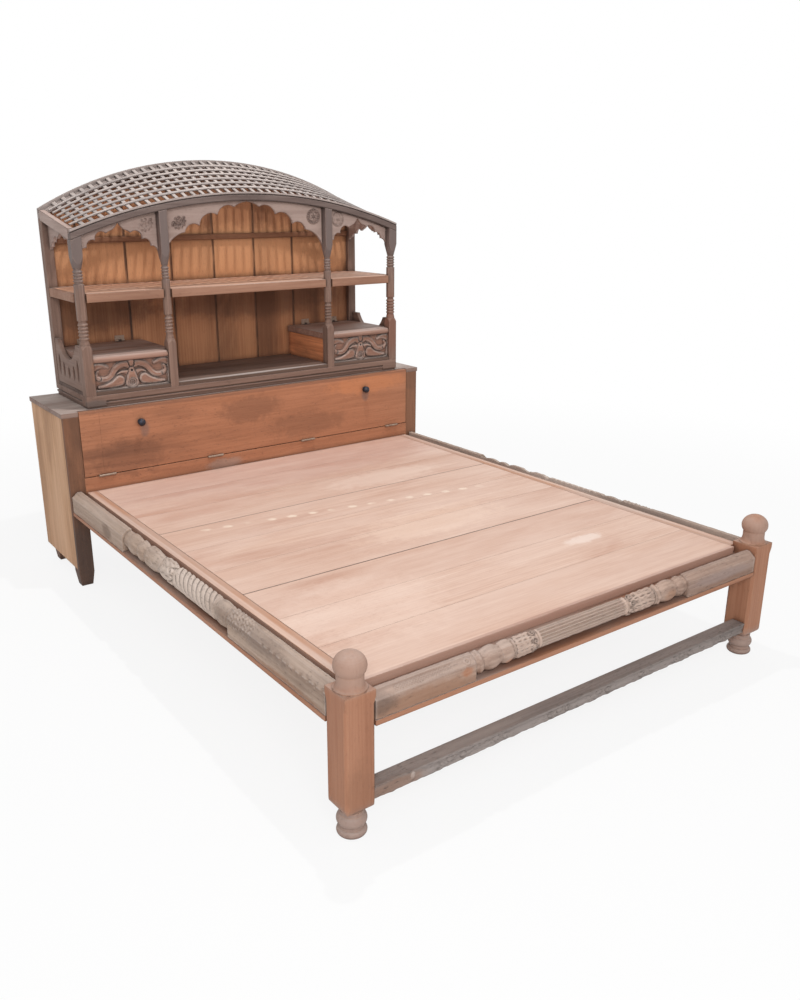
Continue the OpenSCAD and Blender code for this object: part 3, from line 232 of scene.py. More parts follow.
def teak(name, grain, light, dark, stain, board=None, dust=dust_grey, dust_amount=0.0, worn=None,
         edge_wear_and_shade_amount=0.4, grime_and_shade=0.6, grime_and_shade_reach=0.03, patchy=0.5, fibres=0.5, streaks=0.5, ridge=0.0,
         pits=0.25, local=None):
    f = Finish(name)
    along, across, deep, chance = plank_space(f, grain, board)
    fine = f.vector(f.times(along, 0.035), across, deep)
    wide = f.vector(f.times(along, 0.22), across, deep)

    wander = centred(f, f.noise(fine, 9.0, 2.0), 0.03)
    from_pith = f.hypot(f.plus(f.minus(across, pith_across), wander),
                        f.plus(f.minus(f.math("PINGPONG", deep, 0.3), pith_deep), wander))
    rings = f.math("SINE", f.times(from_pith, 2 * math.pi / ring_width))
    rings = f.spread(rings, -0.6, 1.0)
    fibre = f.noise(fine, 120.0, 4.0, 0.65)
    streak = f.noise(fine, 32.0, 3.0, 0.6, 0.4)
    patch = f.noise(wide, 4.5, 4.0, 0.6, 0.6)
    cloud = f.noise(wide, 1.4, 2.0)

    tone = f.plus(f.times(rings, flame), f.plus(f.times(fibre, fibres), f.times(streak, streaks)))
    tone = f.spread(tone, 0.3 * (fibres + streaks), flame + 0.68 * (fibres + streaks))
    shade = f.mix(tone, light, dark)
    if chance is not None:
        shade = f.mix(f.times(chance, 0.45), shade, dark)
    shade = f.mix(f.times(f.spread(patch, 0.48, 0.72), patchy), shade, stain)
    shade = f.mix(f.times(f.spread(cloud, 0.4, 0.7), patchy * 0.5), shade, dark)
    if local:
        shade = local(f, shade)

    # Corners found by Ambient Occlusion are darkened: dirt and painted shade together.
    corner = f.node("AmbientOcclusion", {"Distance": grime_and_shade_reach}, samples=6, only_local=False).outputs["AO"]
    shade = f.mix(f.spread(corner, 0.93, 0.42, 0.0, grime_and_shade), shade, f.mix(0.6, stain, corner_dirt_and_shade))
    specks = f.noise(f.vector(f.times(along, 0.3), across, deep), 170.0, 4.0, 0.7)
    specks = f.times(f.spread(specks, 0.56, 0.68), f.spread(patch, 0.35, 0.6, 0.35, 1.0))
    shade = f.mix(f.times(specks, pits), shade, stain)
    geometry = f.node("NewGeometry").outputs
    rounded = f.node("Bevel", {"Radius": 0.006}, samples=4).outputs[0]
    edge = f.node("VectorMath", {0: rounded, 1: geometry["True Normal"]}, operation="DOT_PRODUCT")
    chips = f.noise(wide, 38.0, 3.0, 0.6)
    edge = f.times(f.spread(edge.outputs["Value"], 0.992, 0.93), f.spread(chips, 0.35, 0.62))
    # Edges found by the Bevel node take the worn colour: wear, and painted shade on the arch boards.
    shade = f.mix(f.times(edge, edge_wear_and_shade_amount), shade, worn or light)
    # Crests found by Pointiness take the worn colour: wear and a painted highlight, and painted shade on the
    # arch boards.
    if ridge:
        height = geometry["Pointiness"]
        crest_wear_and_highlight = f.times(f.spread(height, 0.5, 0.56, 0.0, ridge), f.spread(height, 0.72, 0.62))
        shade = f.mix(crest_wear_and_highlight, shade, worn or light)
    if dust_amount:
        up = f.parts(geometry["Normal"])["Z"]
        drift = f.spread(f.noise(wide, 7.0, 4.0, 0.65), 0.3, 0.7)
        settled = f.times(f.spread(up, 0.35, 0.95), f.times(drift, dust_amount))
        shade = f.mix(settled, shade, dust)
    f.feed(f.shader, "Base Color", shade)

    f.feed(f.shader, "Roughness", f.spread(f.plus(patch, f.times(fibre, 0.6)), 0.6, 1.1, 0.55, 0.8))
    f.shader.inputs["Specular IOR Level"].default_value = 0.35
    height = f.plus(f.times(fibre, 0.4), f.times(streak, 0.12))
    height = f.minus(height, f.times(specks, 2.0 * pits))
    knock = f.spread(f.noise(wide, 26.0, 3.0, 0.55, 0.5), 0.55, 0.8)
    height = f.minus(height, f.times(knock, 1.2))
    bump = f.node("Bump", {"Strength": 0.5, "Distance": 0.0016, "Height": height})
    f.feed(bump, "Normal", rounded)
    f.feed(f.shader, "Normal", bump.outputs[0])
    return f.material


print("teak() is ready")

# %% [markdown]
# ## The woods of this bed
# The platform, flap and back planks still show warm red-brown teak, the deck is planed pale and dusty,
# the carved and turned work has gone grey-brown, and a few boards are fresher. One material for each
# group and grain direction is enough here, because the noise follows the place in the bed, so no two
# pieces show the same grain.

# %% Colours of the woods
pale = colour(206, 192, 184)
fresh = (170, 104, 62)

def family(light, dark, stain):
    """The light, dark and stained colour of one kind of teak."""
    return colour(*light), colour(*dark), colour(*stain)


red = family((176, 126, 98), (158, 108, 82), (122, 78, 58))
deck = family((222, 190, 171), (200, 162, 143), (184, 138, 118))
carved = family((182, 154, 138), (138, 111, 97), (74, 56, 47))
ribbed = family((190, 166, 148), (150, 126, 110), (72, 55, 46))
grey = family((160, 136, 124), (124, 100, 90), (84, 64, 56))
flap_red = family((196, 134, 100), (164, 109, 79), (100, 68, 54))
leg_brown = family((153, 107, 80), (126, 86, 63), (66, 50, 42))
tan = family((216, 173, 136), (188, 143, 108), (126, 90, 69))
cabinet = family((144, 116, 102), (120, 94, 82), (66, 50, 44))
arch = family((188, 165, 155), (166, 143, 134), (116, 95, 86))
plank = family((194, 138, 98), (160, 108, 76), (90, 60, 46))
shelf_brown = family((226, 176, 144), (190, 138, 110), (118, 82, 64))
lath = family((172, 162, 158), (130, 118, 114), (70, 60, 56))
orange = family((170, 130, 108), (144, 103, 82), (112, 78, 62))
driftwood = family((166, 155, 150), (132, 121, 116), (70, 61, 58))
front_brown = family((164, 124, 106), (132, 97, 81), (60, 44, 38))
arc_brown = family((120, 104, 98), (96, 80, 75), (66, 54, 50))
rail_brown = colour(150, 104, 76), colour(120, 80, 58), plank[2]
# The niche's floor is painted dark: painted shade inside the cabinet.
floor_shade_brown = family((112, 88, 76), (90, 70, 60), (50, 38, 34))
lid_brown = colour(172, 136, 120), colour(130, 98, 84), cabinet[2]
box_orange = colour(240, 160, 112), colour(186, 116, 78), cabinet[2]
print("the families of teak have their colours")

# %% Patches that the photo shows
post_marks = patches(
    ((0.0, -1.18, 0.475), (3.0, 0.12, 0.055), (170, 142, 128), 0.75, 0.3),
    ((0.0, -1.18, 0.02), (3.0, 0.12, 0.085), (160, 142, 134), 0.8, 0.3),
    ((-0.85, -1.23, 0.14), (0.05, 0.03, 0.10), (130, 92, 70), 0.35, 0.6))
foot_marks = patches(
    ((-0.66, -1.222, 0.335), (0.24, 0.05, 0.045), (150, 112, 88), 0.8, 0.4),
    ((-0.66, -1.222, 0.312), (0.24, 0.05, 0.014), (170, 112, 74), 0.6, 0.5),
    ((-0.78, -1.20, 0.37), (0.05, 0.05, 0.03), (96, 78, 68), 0.6, 0.6),
    ((0.64, -1.222, 0.325), (0.20, 0.05, 0.036), (138, 106, 88), 0.75, 0.4),
    ((0.62, -1.215, 0.37), (0.17, 0.03, 0.02), (150, 130, 124), 0.6, 0.5),
    ((-0.503, -1.2235, 0.372), (0.022, 0.03, 0.014), fresh, 0.55, 0.8),
    ((-0.342, -1.2235, 0.345), (0.016, 0.03, 0.014), fresh, 0.8, 0.4),
    ((0.353, -1.2235, 0.365), (0.03, 0.03, 0.022), (156, 108, 76), 0.6, 0.5),
    ((-0.02, -1.20, 0.36), (0.36, 0.10, 0.09), (216, 190, 174), 0.6, 0.2))
stretcher_marks = patches(
    ((-0.68, -1.22, 0.122), (0.008, 0.02, 0.010), (214, 206, 200), 0.8, 1.0),
    ((-0.74, -1.22, 0.11), (0.10, 0.03, 0.03), (140, 104, 82), 0.6, 0.4),
    ((0.0, -1.225, 0.102), (0.60, 0.012, 0.022), (86, 78, 74), 0.6, 0.6))
deck_marks_and_shade = patches(
    ((0.418, -0.787, 0.409), (0.09, 0.03, 0.03), (240, 224, 214), 0.6, 0.7),
    ((-0.55, -0.80, 0.409), (0.28, 0.22, 0.03), (236, 208, 192), 0.35, 0.6),
    ((0.0, 0.62, 0.409), (0.95, 0.22, 0.03), (192, 150, 136), 0.55, 0.5),
    ((-0.55, 0.38, 0.409), (0.35, 0.14, 0.03), (196, 150, 130), 0.4, 0.6),
    ((0.3, 0.25, 0.409), (0.30, 0.10, 0.03), (236, 212, 196), 0.4, 0.7),
    ((0.1, -0.32, 0.409), (0.34, 0.12, 0.03), (238, 208, 186), 0.35, 0.8),
    # Painted shade: the dark strip along the foot edge of the deck, whose face is in shade.
    ((0.0, -1.142, 0.40), (1.6, 0.008, 0.03), (150, 108, 96), 0.5, 0.05))
flap_marks = patches(
    ((-0.195, 0.79, 0.425), (0.09, 0.03, 0.03), (160, 142, 132), 0.5, 0.6),
    ((0.60, 0.79, 0.70), (0.24, 0.03, 0.045), (206, 134, 90), 0.6, 0.6),
    ((-0.631, 0.79, 0.53), (0.16, 0.03, 0.08), (96, 64, 50), 0.35, 0.9),
    ((-0.05, 0.79, 0.66), (0.16, 0.03, 0.06), (104, 70, 54), 0.4, 0.9),
    ((0.25, 0.79, 0.55), (0.20, 0.03, 0.06), (110, 74, 56), 0.35, 0.9),
    ((-0.56, 0.79, 0.64), (0.022, 0.03, 0.035), (104, 92, 90), 0.5, 0.5),
    ((0.58, 0.79, 0.65), (0.022, 0.03, 0.035), (104, 92, 90), 0.5, 0.5),
    ((0.0, 0.79, 0.742), (1.4, 0.03, 0.010), (108, 76, 62), 0.45, 0.3))
leg_marks = patches(
    ((0.0, 0.80, 0.08), (3.0, 0.5, 0.24), (78, 64, 58), 0.75, 0.4),
    ((0.86, 0.79, 0.69), (0.05, 0.03, 0.05), (96, 70, 56), 0.3, 0.7))
post_marks_dark = patches(
    ((-0.4185, 0.845, 1.36), (0.005, 0.03, 0.11), (186, 116, 76), 0.8, 0.2),
    ((0.0, 0.85, 1.50), (3.0, 0.2, 0.28), (108, 96, 93), 0.85, 0.2),
    ((-0.743, 0.84, 0.90), (0.02, 0.03, 0.07), (166, 116, 84), 0.5, 0.6),
    ((0.76, 0.83, 0.98), (0.06, 0.05, 0.16), (130, 90, 74), 0.75, 0.3))
# Painted light and shade on the back planks: a pale band where light falls on the planks above the shelf,
# painted shadow of the shelf on the planks below it, and the boards darker towards the top.
back_light_and_shade = patches(
    ((0.0, 1.19, 1.76), (3.0, 0.1, 0.19), (66, 50, 44), 0.85, 0.15),
    ((0.0, 1.19, 1.32), (1.0, 0.1, 0.13), (226, 166, 120), 0.55, 0.5),
    ((0.2, 1.19, 1.10), (0.5, 0.1, 0.09), (84, 58, 46), 0.5, 0.5),
    ((-0.6, 1.19, 1.10), (0.3, 0.1, 0.09), (84, 58, 46), 0.5, 0.5))
side_marks = patches(
    ((0.0, -0.93, 0.328), (3.0, 0.24, 0.026), (150, 108, 82), 0.75, 0.3),
    ((0.0, 0.55, 0.325), (3.0, 0.28, 0.030), (150, 118, 98), 0.7, 0.4),
    ((0.0, 0.40, 0.37), (3.0, 0.05, 0.03), (110, 84, 66), 0.7, 0.5),
    ((0.0, -0.28, 0.36), (3.0, 0.26, 0.10), (222, 206, 194), 0.55, 0.2),
    ((0.0, -0.72, 0.395), (3.0, 0.25, 0.03), (112, 94, 84), 0.5, 0.9))
# A pale line painted along the front lip of the niche's floor as a highlight, and a small dark patch.
floor_marks_and_highlight = patches(
    ((0.0, 0.832, 0.816), (0.44, 0.016, 0.006), (206, 196, 190), 0.75, 0.15),
    ((-0.75, 0.815, 0.765), (0.06, 0.03, 0.02), (92, 84, 80), 0.7, 0.3))
rim_marks = patches(
    ((-0.80, -0.2, 0.409), (0.012, 1.4, 0.03), (176, 118, 80), 0.7, 0.1),
    ((0.80, -0.2, 0.409), (0.012, 1.4, 0.03), (176, 118, 80), 0.7, 0.1))


plug_half_pitch = 0.042
plug_slope = 0.16
plank_w = 0.213
arc_centre_z = -0.6617
lip_r, groove_r, shade_r = 2.2482, 2.2466, 2.2245


def plug_row(finish, shade):
    """A row of pale plugs that runs a little askew across the middle of the deck."""
    x, y, _ = finish.parts(finish.place)
    off_x = finish.minus(finish.math("PINGPONG", x, plug_half_pitch), plug_half_pitch)
    off_y = finish.plus(finish.plus(y, finish.times(x, plug_slope)), 0.01)
    far = finish.hypot(off_x, finish.times(off_y, 1.5))
    far = finish.plus(far, centred(finish, finish.noise(finish.place, 60.0, 3.0), 0.008))
    chance = finish.noise(finish.place, 9.0, 3.0)
    spot = finish.times(finish.spread(far, 0.026, 0.010), finish.spread(chance, 0.40, 0.55))
    between = finish.times(finish.spread(x, -0.68, -0.60), finish.spread(x, 0.58, 0.50))
    return finish.mix(finish.times(spot, between, 0.75), shade, colour(244, 226, 206))


def deck_seams(finish, shade):
    """The dark joints between the three panels of the deck."""
    _, y, _ = finish.parts(finish.place)
    for node, amount in (("deck_panel_foot", 0.85), ("deck_panel_middle", 0.5)):
        seam_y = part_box(node)[1][1] + 0.001
        off = finish.math("ABSOLUTE", finish.minus(y, seam_y))
        shade = finish.mix(finish.spread(off, 0.0045, 0.002, 0.0, amount), shade, colour(84, 62, 54))
    return shade


def plank_gaps(finish, shade):
    """Soft dark stains along the joints between the back planks."""
    x, _, z = finish.parts(finish.place)
    off = finish.plus(x, finish.times(finish.noise(finish.place, 5.0), 0.006))
    off = finish.math("PINGPONG", off, plank_w / 2)
    seep = finish.noise(finish.vector(x, 0.0, finish.times(z, 0.3)), 24.0, 3.0)
    near = finish.times(finish.spread(off, 0.010, 0.002), finish.spread(seep, 0.3, 0.6, 0.3, 0.85))
    return finish.mix(near, shade, colour(60, 42, 36))


def arc_lip_and_shade(finish, shade):
    """Pale upper lip of the front arc board, and painted shade in the groove under it and along the board's
    lower edge.
    """
    x, _, z = finish.parts(finish.place)
    far = finish.hypot(x, finish.minus(z, arc_centre_z))
    shade = finish.mix(finish.spread(far, lip_r, lip_r + 0.0014, 0.0, 0.8), shade, colour(178, 164, 158))
    # Painted shade in the groove under the lip and along the lower edge of the board.
    groove = finish.math("ABSOLUTE", finish.minus(far, groove_r))
    shade = finish.mix(finish.spread(groove, 0.0026, 0.001, 0.0, 0.8), shade, colour(52, 42, 40))
    return finish.mix(finish.spread(far, shade_r, shade_r - 0.003, 0.0, 0.7), shade, colour(60, 48, 44))


print("local marks are ready")

# %% Give the joinery its woods
deck_start_y, deck_board_w = -1.1475, 0.2155
# Dark colour on the edges and crests of the arch boards: painted shade along the cusps.
arch_edge_shade = colour(96, 76, 68)
woods = {
    "post": teak("post_teak", "z", *red, dust_amount=0.4, patchy=0.7, pits=0.3, streaks=0.25, fibres=0.25,
                 local=post_marks, worn=colour(204, 156, 126)),
    "rail_x": teak("rail_teak_x", "x", *red, dust_amount=0.5),
    "rail_y": teak("rail_teak_y", "y", *red, dust_amount=0.5),
    "foot_carved": teak("carved_teak_x", "x", *carved, dust_amount=0.3, grime_and_shade=0.55, grime_and_shade_reach=0.008,
                        ridge=0.15, worn=pale, edge_wear_and_shade_amount=0.15, pits=0.6, local=foot_marks),
    "side_carved": teak("carved_teak_y", "y", *ribbed, dust_amount=0.4, grime_and_shade=0.75, grime_and_shade_reach=0.010,
                        ridge=0.3, worn=pale, edge_wear_and_shade_amount=0.15, pits=0.6, local=side_marks),
    "deck": teak("deck_teak", "x", *deck, board=("y", deck_start_y, deck_board_w),
                 dust=colour(234, 210, 196), dust_amount=0.4, patchy=0.6, streaks=0.25, fibres=0.35,
                 local=after(deck_marks_and_shade, plug_row, deck_seams)),
    "stretcher": teak("stretcher_teak", "x", *driftwood, dust_amount=0.4, patchy=0.7, grime_and_shade=0.9,
                      grime_and_shade_reach=0.012, worn=colour(158, 146, 138), pits=0.8, local=stretcher_marks),
    # Strong painted shade in the deep-cut ground of the carved fronts, from the Ambient Occlusion darkening.
    "front": teak("corner_front_teak", "x", *front_brown, dust_amount=0.3, grime_and_shade=0.97, grime_and_shade_reach=0.018,
                  ridge=0.35, worn=pale, pits=0.5),
    "rim": teak("rim_teak", "y", *deck, dust_amount=0.5, worn=colour(188, 124, 84), edge_wear_and_shade_amount=0.8,
                local=rim_marks),
    "box_top": teak("box_top_teak", "x", *grey, dust_amount=0.9),
    "flap": teak("flap_teak", "x", *flap_red, patchy=0.8, pits=0.4, local=flap_marks),
    "side": teak("side_panel_teak", "z", *tan),
    "leg": teak("leg_teak", "z", *leg_brown, patchy=0.8, local=leg_marks),
    "dark_x": teak("cabinet_teak_x", "x", *cabinet, dust_amount=0.5, pits=0.4, local=floor_marks_and_highlight),
    "dark_y": teak("cabinet_teak_y", "y", *cabinet, dust_amount=0.5),
    "dark_z": teak("cabinet_teak_z", "z", *cabinet, dust_amount=0.3, worn=colour(184, 156, 142),
                   edge_wear_and_shade_amount=0.5, local=post_marks_dark),
    "arch_x": teak("arch_teak_x", "x", *arch, grime_and_shade=0.9, grime_and_shade_reach=0.008, ridge=0.3, fibres=0.2,
                   streaks=0.3, worn=arch_edge_shade, edge_wear_and_shade_amount=0.8),
    "arch_y": teak("arch_teak_y", "y", *arch, worn=arch_edge_shade, edge_wear_and_shade_amount=0.8),
    "arc": teak("arc_board_teak", "x", *arc_brown, dust=colour(196, 182, 176), dust_amount=0.6,
                local=arc_lip_and_shade),
    "plank": teak("back_plank_teak", "z", *plank, board=("x", 0.0, plank_w), patchy=0.8, fibres=0.3,
                  streaks=0.3, local=after(back_light_and_shade, plank_gaps)),
    "back_rail": teak("back_rail_teak", "x", *rail_brown),
    "floor": teak("cabinet_floor_teak", "x", *floor_shade_brown, dust_amount=0.15, patchy=0.8, local=floor_marks_and_highlight),
    "lid": teak("lid_teak", "x", *lid_brown, dust_amount=0.6),
    "box_side": teak("corner_side_teak", "y", *box_orange),
    "edging": teak("edging_teak", "x", *orange, dust_amount=0.8),
    "shelf": teak("shelf_teak", "x", *shelf_brown, dust_amount=0.5),
    "lattice_y": teak("lattice_teak_y", "y", *lath, dust_amount=0.8),
    "lattice_x": teak("lattice_teak_x", "x", *lath, dust_amount=0.8),
}
print(len(woods), "woods")

# %% [markdown]
# ## Iron
# The knobs are plain forged iron that has gone blue-black. The flap's hinges are dulled by dust and the
# leaves of the lids are nearly brown, so these two are hardly metallic. A base colour with a little rust
# and noisy roughness is enough, because such small pieces are read by their highlights.

# %% The iron finish
def iron(name, bare, rusty, metal=0.8):
    f = Finish(name)
    grain = f.noise(f.place, 420.0, 3.0, 0.6)
    rust = f.spread(f.noise(f.place, 90.0, 4.0, 0.6), 0.5, 0.75)
    f.feed(f.shader, "Base Color", f.mix(rust, bare, rusty))
    f.feed(f.shader, "Roughness", f.spread(grain, 0.3, 0.7, 0.34, 0.6))
    f.feed(f.shader, "Metallic", f.times(f.minus(1.0, rust), metal))
    bump = f.node("Bump", {"Strength": 0.3, "Distance": 0.0008, "Height": grain})
    f.feed(bump, "Normal", f.node("Bevel", {"Radius": 0.001}, samples=4).outputs[0])
    f.feed(f.shader, "Normal", bump.outputs[0])
    return f.material


woods["iron"] = iron("forged_iron", colour(56, 58, 68), colour(92, 70, 60))
woods["dusty_iron"] = iron("dusty_iron", colour(156, 134, 118), colour(110, 80, 64), 0.2)
woods["brown_iron"] = iron("brown_iron", colour(62, 47, 40), colour(80, 58, 46), 0.0)
print("three iron finishes")

# %% Which piece has which finish
pieces_in = {
    "post": "foot_post_left foot_post_right",
    "rail_x": "foot_rail cross_bearers",
    "rail_y": "side_rail_left side_rail_right ledgers box_cleats",
    "foot_carved": "foot_rail_column",
    "side_carved": "side_column_left side_column_right",
    "stretcher": "stretcher",
    "deck": "deck_panel_foot deck_panel_middle deck_panel_head",
    "rim": "deck_rims",
    "leg": "box_legs_front box_legs_rear",
    "side": "box_side_left box_side_right",
    "flap": "box_front_rail box_bottom box_back flap",
    "box_top": "box_top",
    "iron": "flap_knobs",
    "dusty_iron": "hinge_fixed_leaves hinge_flap_leaves hinge_pins",
    "brown_iron": "lid_leaves_left lid_leaves_right",
    "dark_x": "cabinet_base corner_box_fronts",
    "dark_y": "side_railing_left side_railing_right",
    "dark_z": "corner_post_left corner_post_right middle_post_left middle_post_right rear_posts",
    "floor": "cabinet_floor",
    "shelf": "shelf",
    "edging": "shelf_edging",
    "plank": "back_planks back_boards_upper",
    "back_rail": "back_rail",
    "box_side": "corner_box_sides",
    "lid": "lid_left lid_right",
    "arch_x": "arch_centre arch_bay_left arch_bay_right",
    "arch_y": "arch_side_left arch_side_right eave_plates",
    "arc": "arc_board_front arc_board_rear",
    "lattice_x": "lattice_strips",
    "lattice_y": "lattice_ribs",
}
finish_of = {name: wood for wood, names in pieces_in.items() for name in names.split()}


def dress(piece, material):
    """The piece wears this material alone."""
    if not piece.material_slots:
        piece.data.materials.append(material)
    for slot in piece.material_slots:
        slot.link = "OBJECT"
        slot.material = material


for name, wood in finish_of.items():
    dress(nodes[name], woods[wood])
print("bare nodes:", sorted(set(nodes) - set(finish_of)))

# %% [markdown]
# ## Tools for carving
# Carving is height over a flat or round surface, so each pattern here is a formula on numpy arrays: domes,
# leaves, scrolls and ridges that follow a path. Sculpting by hand would look freer, but a formula repeats
# exactly on the mirror piece and can be changed in one line. A worn surface is never quite true, so a few
# random sine waves are added to all of it.

# %% Shapes in relief
def rise(value, low, high):
    """0 below low, 1 above high, smooth between them."""
    share = np.clip((value - low) / (high - low), 0, 1)
    return share * share * (3 - 2 * share)


def dome(distance, radius):
    """Half-round swelling, 1 in the middle and 0 from the radius outwards."""
    return np.sqrt(np.clip(1 - (distance / radius) ** 2, 0, None))


def wobble(a, b, size, seed):
    """Slow random waves between about -1 and 1, some size metres long."""
    chance = np.random.default_rng(seed)
    total = 0
    for angle, stretch, phase in chance.uniform((0, 0.7, 0), (2 * np.pi, 1.7, 2 * np.pi), (7, 3)):
        total = total + np.sin((a * np.cos(angle) + b * np.sin(angle)) * 2 * np.pi * stretch / size + phase)
    return total / 4


def leaf(a, b, base, tip, width, bend=0.0, veins=5):
    """Pointed leaf with a sunk midrib and side veins, 0 outside it."""
    reach = np.subtract(tip, base)
    length = np.hypot(*reach)
    along = ((a - base[0]) * reach[0] + (b - base[1]) * reach[1]) / length ** 2
    inside = np.clip(along, 0, 1)
    across = ((b - base[1]) * reach[0] - (a - base[0]) * reach[1]) / length - bend * np.sin(np.pi * inside)
    half = width * np.sin(np.pi * inside ** 0.75) + 1e-6
    body = dome(across, half) * (along > 0) * (along < 1)
    midrib = np.exp(-(across / (0.13 * width)) ** 2)
    side_veins = 0.5 + 0.5 * np.cos(2 * np.pi * (veins * along - 1.4 * np.abs(across) / width))
    return body * (1 - 0.4 * midrib - 0.3 * side_veins)


def scroll(a, b, centre, radius, turns=1.6, hand=1):
    """Volute whose rounded ridge winds in to an eye."""
    across, up = (a - centre[0]) * hand, b - centre[1]
    far = np.hypot(across, up)
    ridge = 0.5 + 0.5 * np.cos(2 * np.pi * (turns * far / radius - np.arctan2(up, across) / (2 * np.pi)))
    return np.maximum(ridge * rise(radius - far, 0, 0.15 * radius), dome(far, 0.25 * radius))


def from_segment(a, b, start, end):
    """How far along a segment each point lies, from 0 to 1, and its distance from it."""
    da, db = end[0] - start[0], end[1] - start[1]
    share = np.clip(((a - start[0]) * da + (b - start[1]) * db) / max(da * da + db * db, 1e-12), 0, 1)
    return share, np.hypot(a - start[0] - share * da, b - start[1] - share * db)


def path_distance(a, b, path):
    """Distance to a line through the points of a path."""
    nearest = np.full(np.shape(a), np.inf)
    for start, end in zip(path[:-1], path[1:]):
        nearest = np.minimum(nearest, from_segment(a, b, start, end)[1])
    return nearest


def limb(a, b, path, first, last):
    """How far inside a thick line each point lies. Its half width goes from first to last."""
    inside = np.full(np.shape(a), -1.0)
    widths = np.linspace(first, last, len(path))
    for i in range(len(path) - 1):
        share, far = from_segment(a, b, path[i], path[i + 1])
        width = widths[i] + (widths[i + 1] - widths[i]) * share
        inside = np.maximum(inside, width - far)
    return inside


def curve(start, pull, end):
    """Eleven points of a quadratic curve that is pulled towards the middle point."""
    share = np.linspace(0, 1, 11)[:, None]
    start, pull, end = (np.array(point) for point in (start, pull, end))
    points = (1 - share) ** 2 * start + 2 * share * (1 - share) * pull + share ** 2 * end
    return [tuple(point) for point in points]


print("a leaf is", round(float(leaf(0.5, 0.0, (0, 0), (1, 0), 0.2)), 2), "high beside its midrib")

# %% [markdown]
# ## From height to mesh
# A half column is a grid of stations along it and angles round it, closed by its flat back. A board with a
# cut-out shape is filled with a fine mesh of triangles by a Delaunay fill, which keeps the outline exact,
# and is then given its back and its edges. Both are closed solids.

# %% Carved bars and boards
def finish_piece(name, points, faces, node, wood):
    """Smooth closed mesh that stands for a piece of joinery and wears a wood."""
    mesh = bpy.data.meshes.new(name)
    mesh.from_pydata(points, [], faces)
    solid = bmesh.new()
    solid.from_mesh(mesh)
    bmesh.ops.recalc_face_normals(solid, faces=solid.faces)
    solid.to_mesh(mesh)
    solid.free()
    mesh.polygons.foreach_set("use_smooth", [True] * len(mesh.polygons))
    mesh.set_sharp_from_angle(angle=math.radians(42))
    piece = placed(name, mesh)
    piece.data.materials.append(woods[wood])
    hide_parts(node)
    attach(piece, "bed_frame")
    print(f"{name}: {len(mesh.polygons)} faces")


def carved_bar(name, node, wood, stations, radius_at, place):
    """Half-round bar. radius_at(u, angle) is its surface and place(u, out, up) puts it in the room."""
    angles = np.linspace(-np.pi / 2, np.pi / 2, 81)
    u, angle = np.meshgrid(stations, angles, indexing="ij")
    radius = radius_at(u, angle)
    points = np.stack(place(u, radius * np.cos(angle), radius * np.sin(angle)), axis=-1)
    index = np.arange(u.size).reshape(u.shape)
    ring = np.concatenate([index, index[:, :1]], axis=1)
    faces = np.stack([ring[:-1, :-1], ring[:-1, 1:], ring[1:, 1:], ring[1:, :-1]], axis=-1).reshape(-1, 4)
    ends = [index[0].tolist(), index[-1].tolist()]
    finish_piece(name, points.reshape(-1, 3).tolist(), faces.tolist() + ends, node, wood)


def resampled(loop, spacing):
    """The loop's own points and evenly spaced ones between them."""
    points = []
    for start, end in zip(loop, loop[1:] + loop[:1]):
        count = max(1, round(math.dist(start, end) / spacing))
        points += [(start[0] + (end[0] - start[0]) * i / count, start[1] + (end[1] - start[1]) * i / count)
                   for i in range(count)]
    return points


def within(a, b, loop):
    """True where a point is inside the outline."""
    crossings = np.zeros(np.shape(a), int)
    for (a0, b0), (a1, b1) in zip(loop, loop[1:] + loop[:1]):
        if b0 != b1:
            crossings += ((b0 > b) != (b1 > b)) & (a < a0 + (a1 - a0) * (b - b0) / (b1 - b0))
    return crossings % 2 == 1


def carved_board(name, node, wood, outline, spacing, thick, relief, place):
    """Board with a carved face. relief(a, b) is the height and place(a, b, out) puts it in the room."""
    rim = resampled(outline, spacing)
    low, high = np.min(outline, axis=0), np.max(outline, axis=0)
    a, b = np.meshgrid(np.arange(low[0], high[0], spacing), np.arange(low[1], high[1], spacing * 0.87))
    a = a + spacing / 2 * (np.arange(len(a)) % 2)[:, None]
    a, b = a.ravel(), b.ravel()
    free = within(a, b, rim) & (path_distance(a, b, rim + rim[:1]) > 0.6 * spacing)
    edges = [(i, (i + 1) % len(rim)) for i in range(len(rim))]
    points = [Vector(map(float, p)) for p in rim + list(zip(a[free], b[free]))]
    points, _, faces, *_ = delaunay_2d_cdt(points, edges, [], 0, 1e-7, False)
    flat = np.array([(p.x, p.y) for p in points])
    faces = np.array([f for f in faces if len(f) == 3])
    middle = flat[faces].mean(axis=1)
    faces = faces[within(middle[:, 0], middle[:, 1], rim)]
    count = len(flat)
    sides = dict.fromkeys(edge for i, j, k in faces.tolist() for edge in ((i, j), (j, k), (k, i)))
    walls = [(j, i, i + count, j + count) for i, j in sides if (j, i) not in sides]
    front = np.stack(place(flat[:, 0], flat[:, 1], relief(flat[:, 0], flat[:, 1])), axis=-1)
    back = np.stack(place(flat[:, 0], flat[:, 1], np.full(count, -thick)), axis=-1)
    points = np.concatenate([front, back]).tolist()
    faces = faces.tolist() + [[i + count for i in reversed(f)] for f in faces.tolist()] + walls
    used = sorted({i for f in faces for i in f})
    renumber = {old: new for new, old in enumerate(used)}
    faces = [[renumber[i] for i in f] for f in faces]
    finish_piece(name, [points[i] for i in used], faces, node, wood)


print("bars and boards can be carved")

# %% [markdown]
# ## The turned pillar on the foot rail
# The foot rail carries half of an old pillar laid on its side: a fluted shaft between two leafy capitals,
# then a disc, a bulb and a ring at each end. Beyond them the wood is plain, upright in front and bevelled
# on top, with a hatched panel and a small knot near the left ring. Radius is a function of the place along
# the pillar and of the angle round it, which suits turned work better than a flat height map.

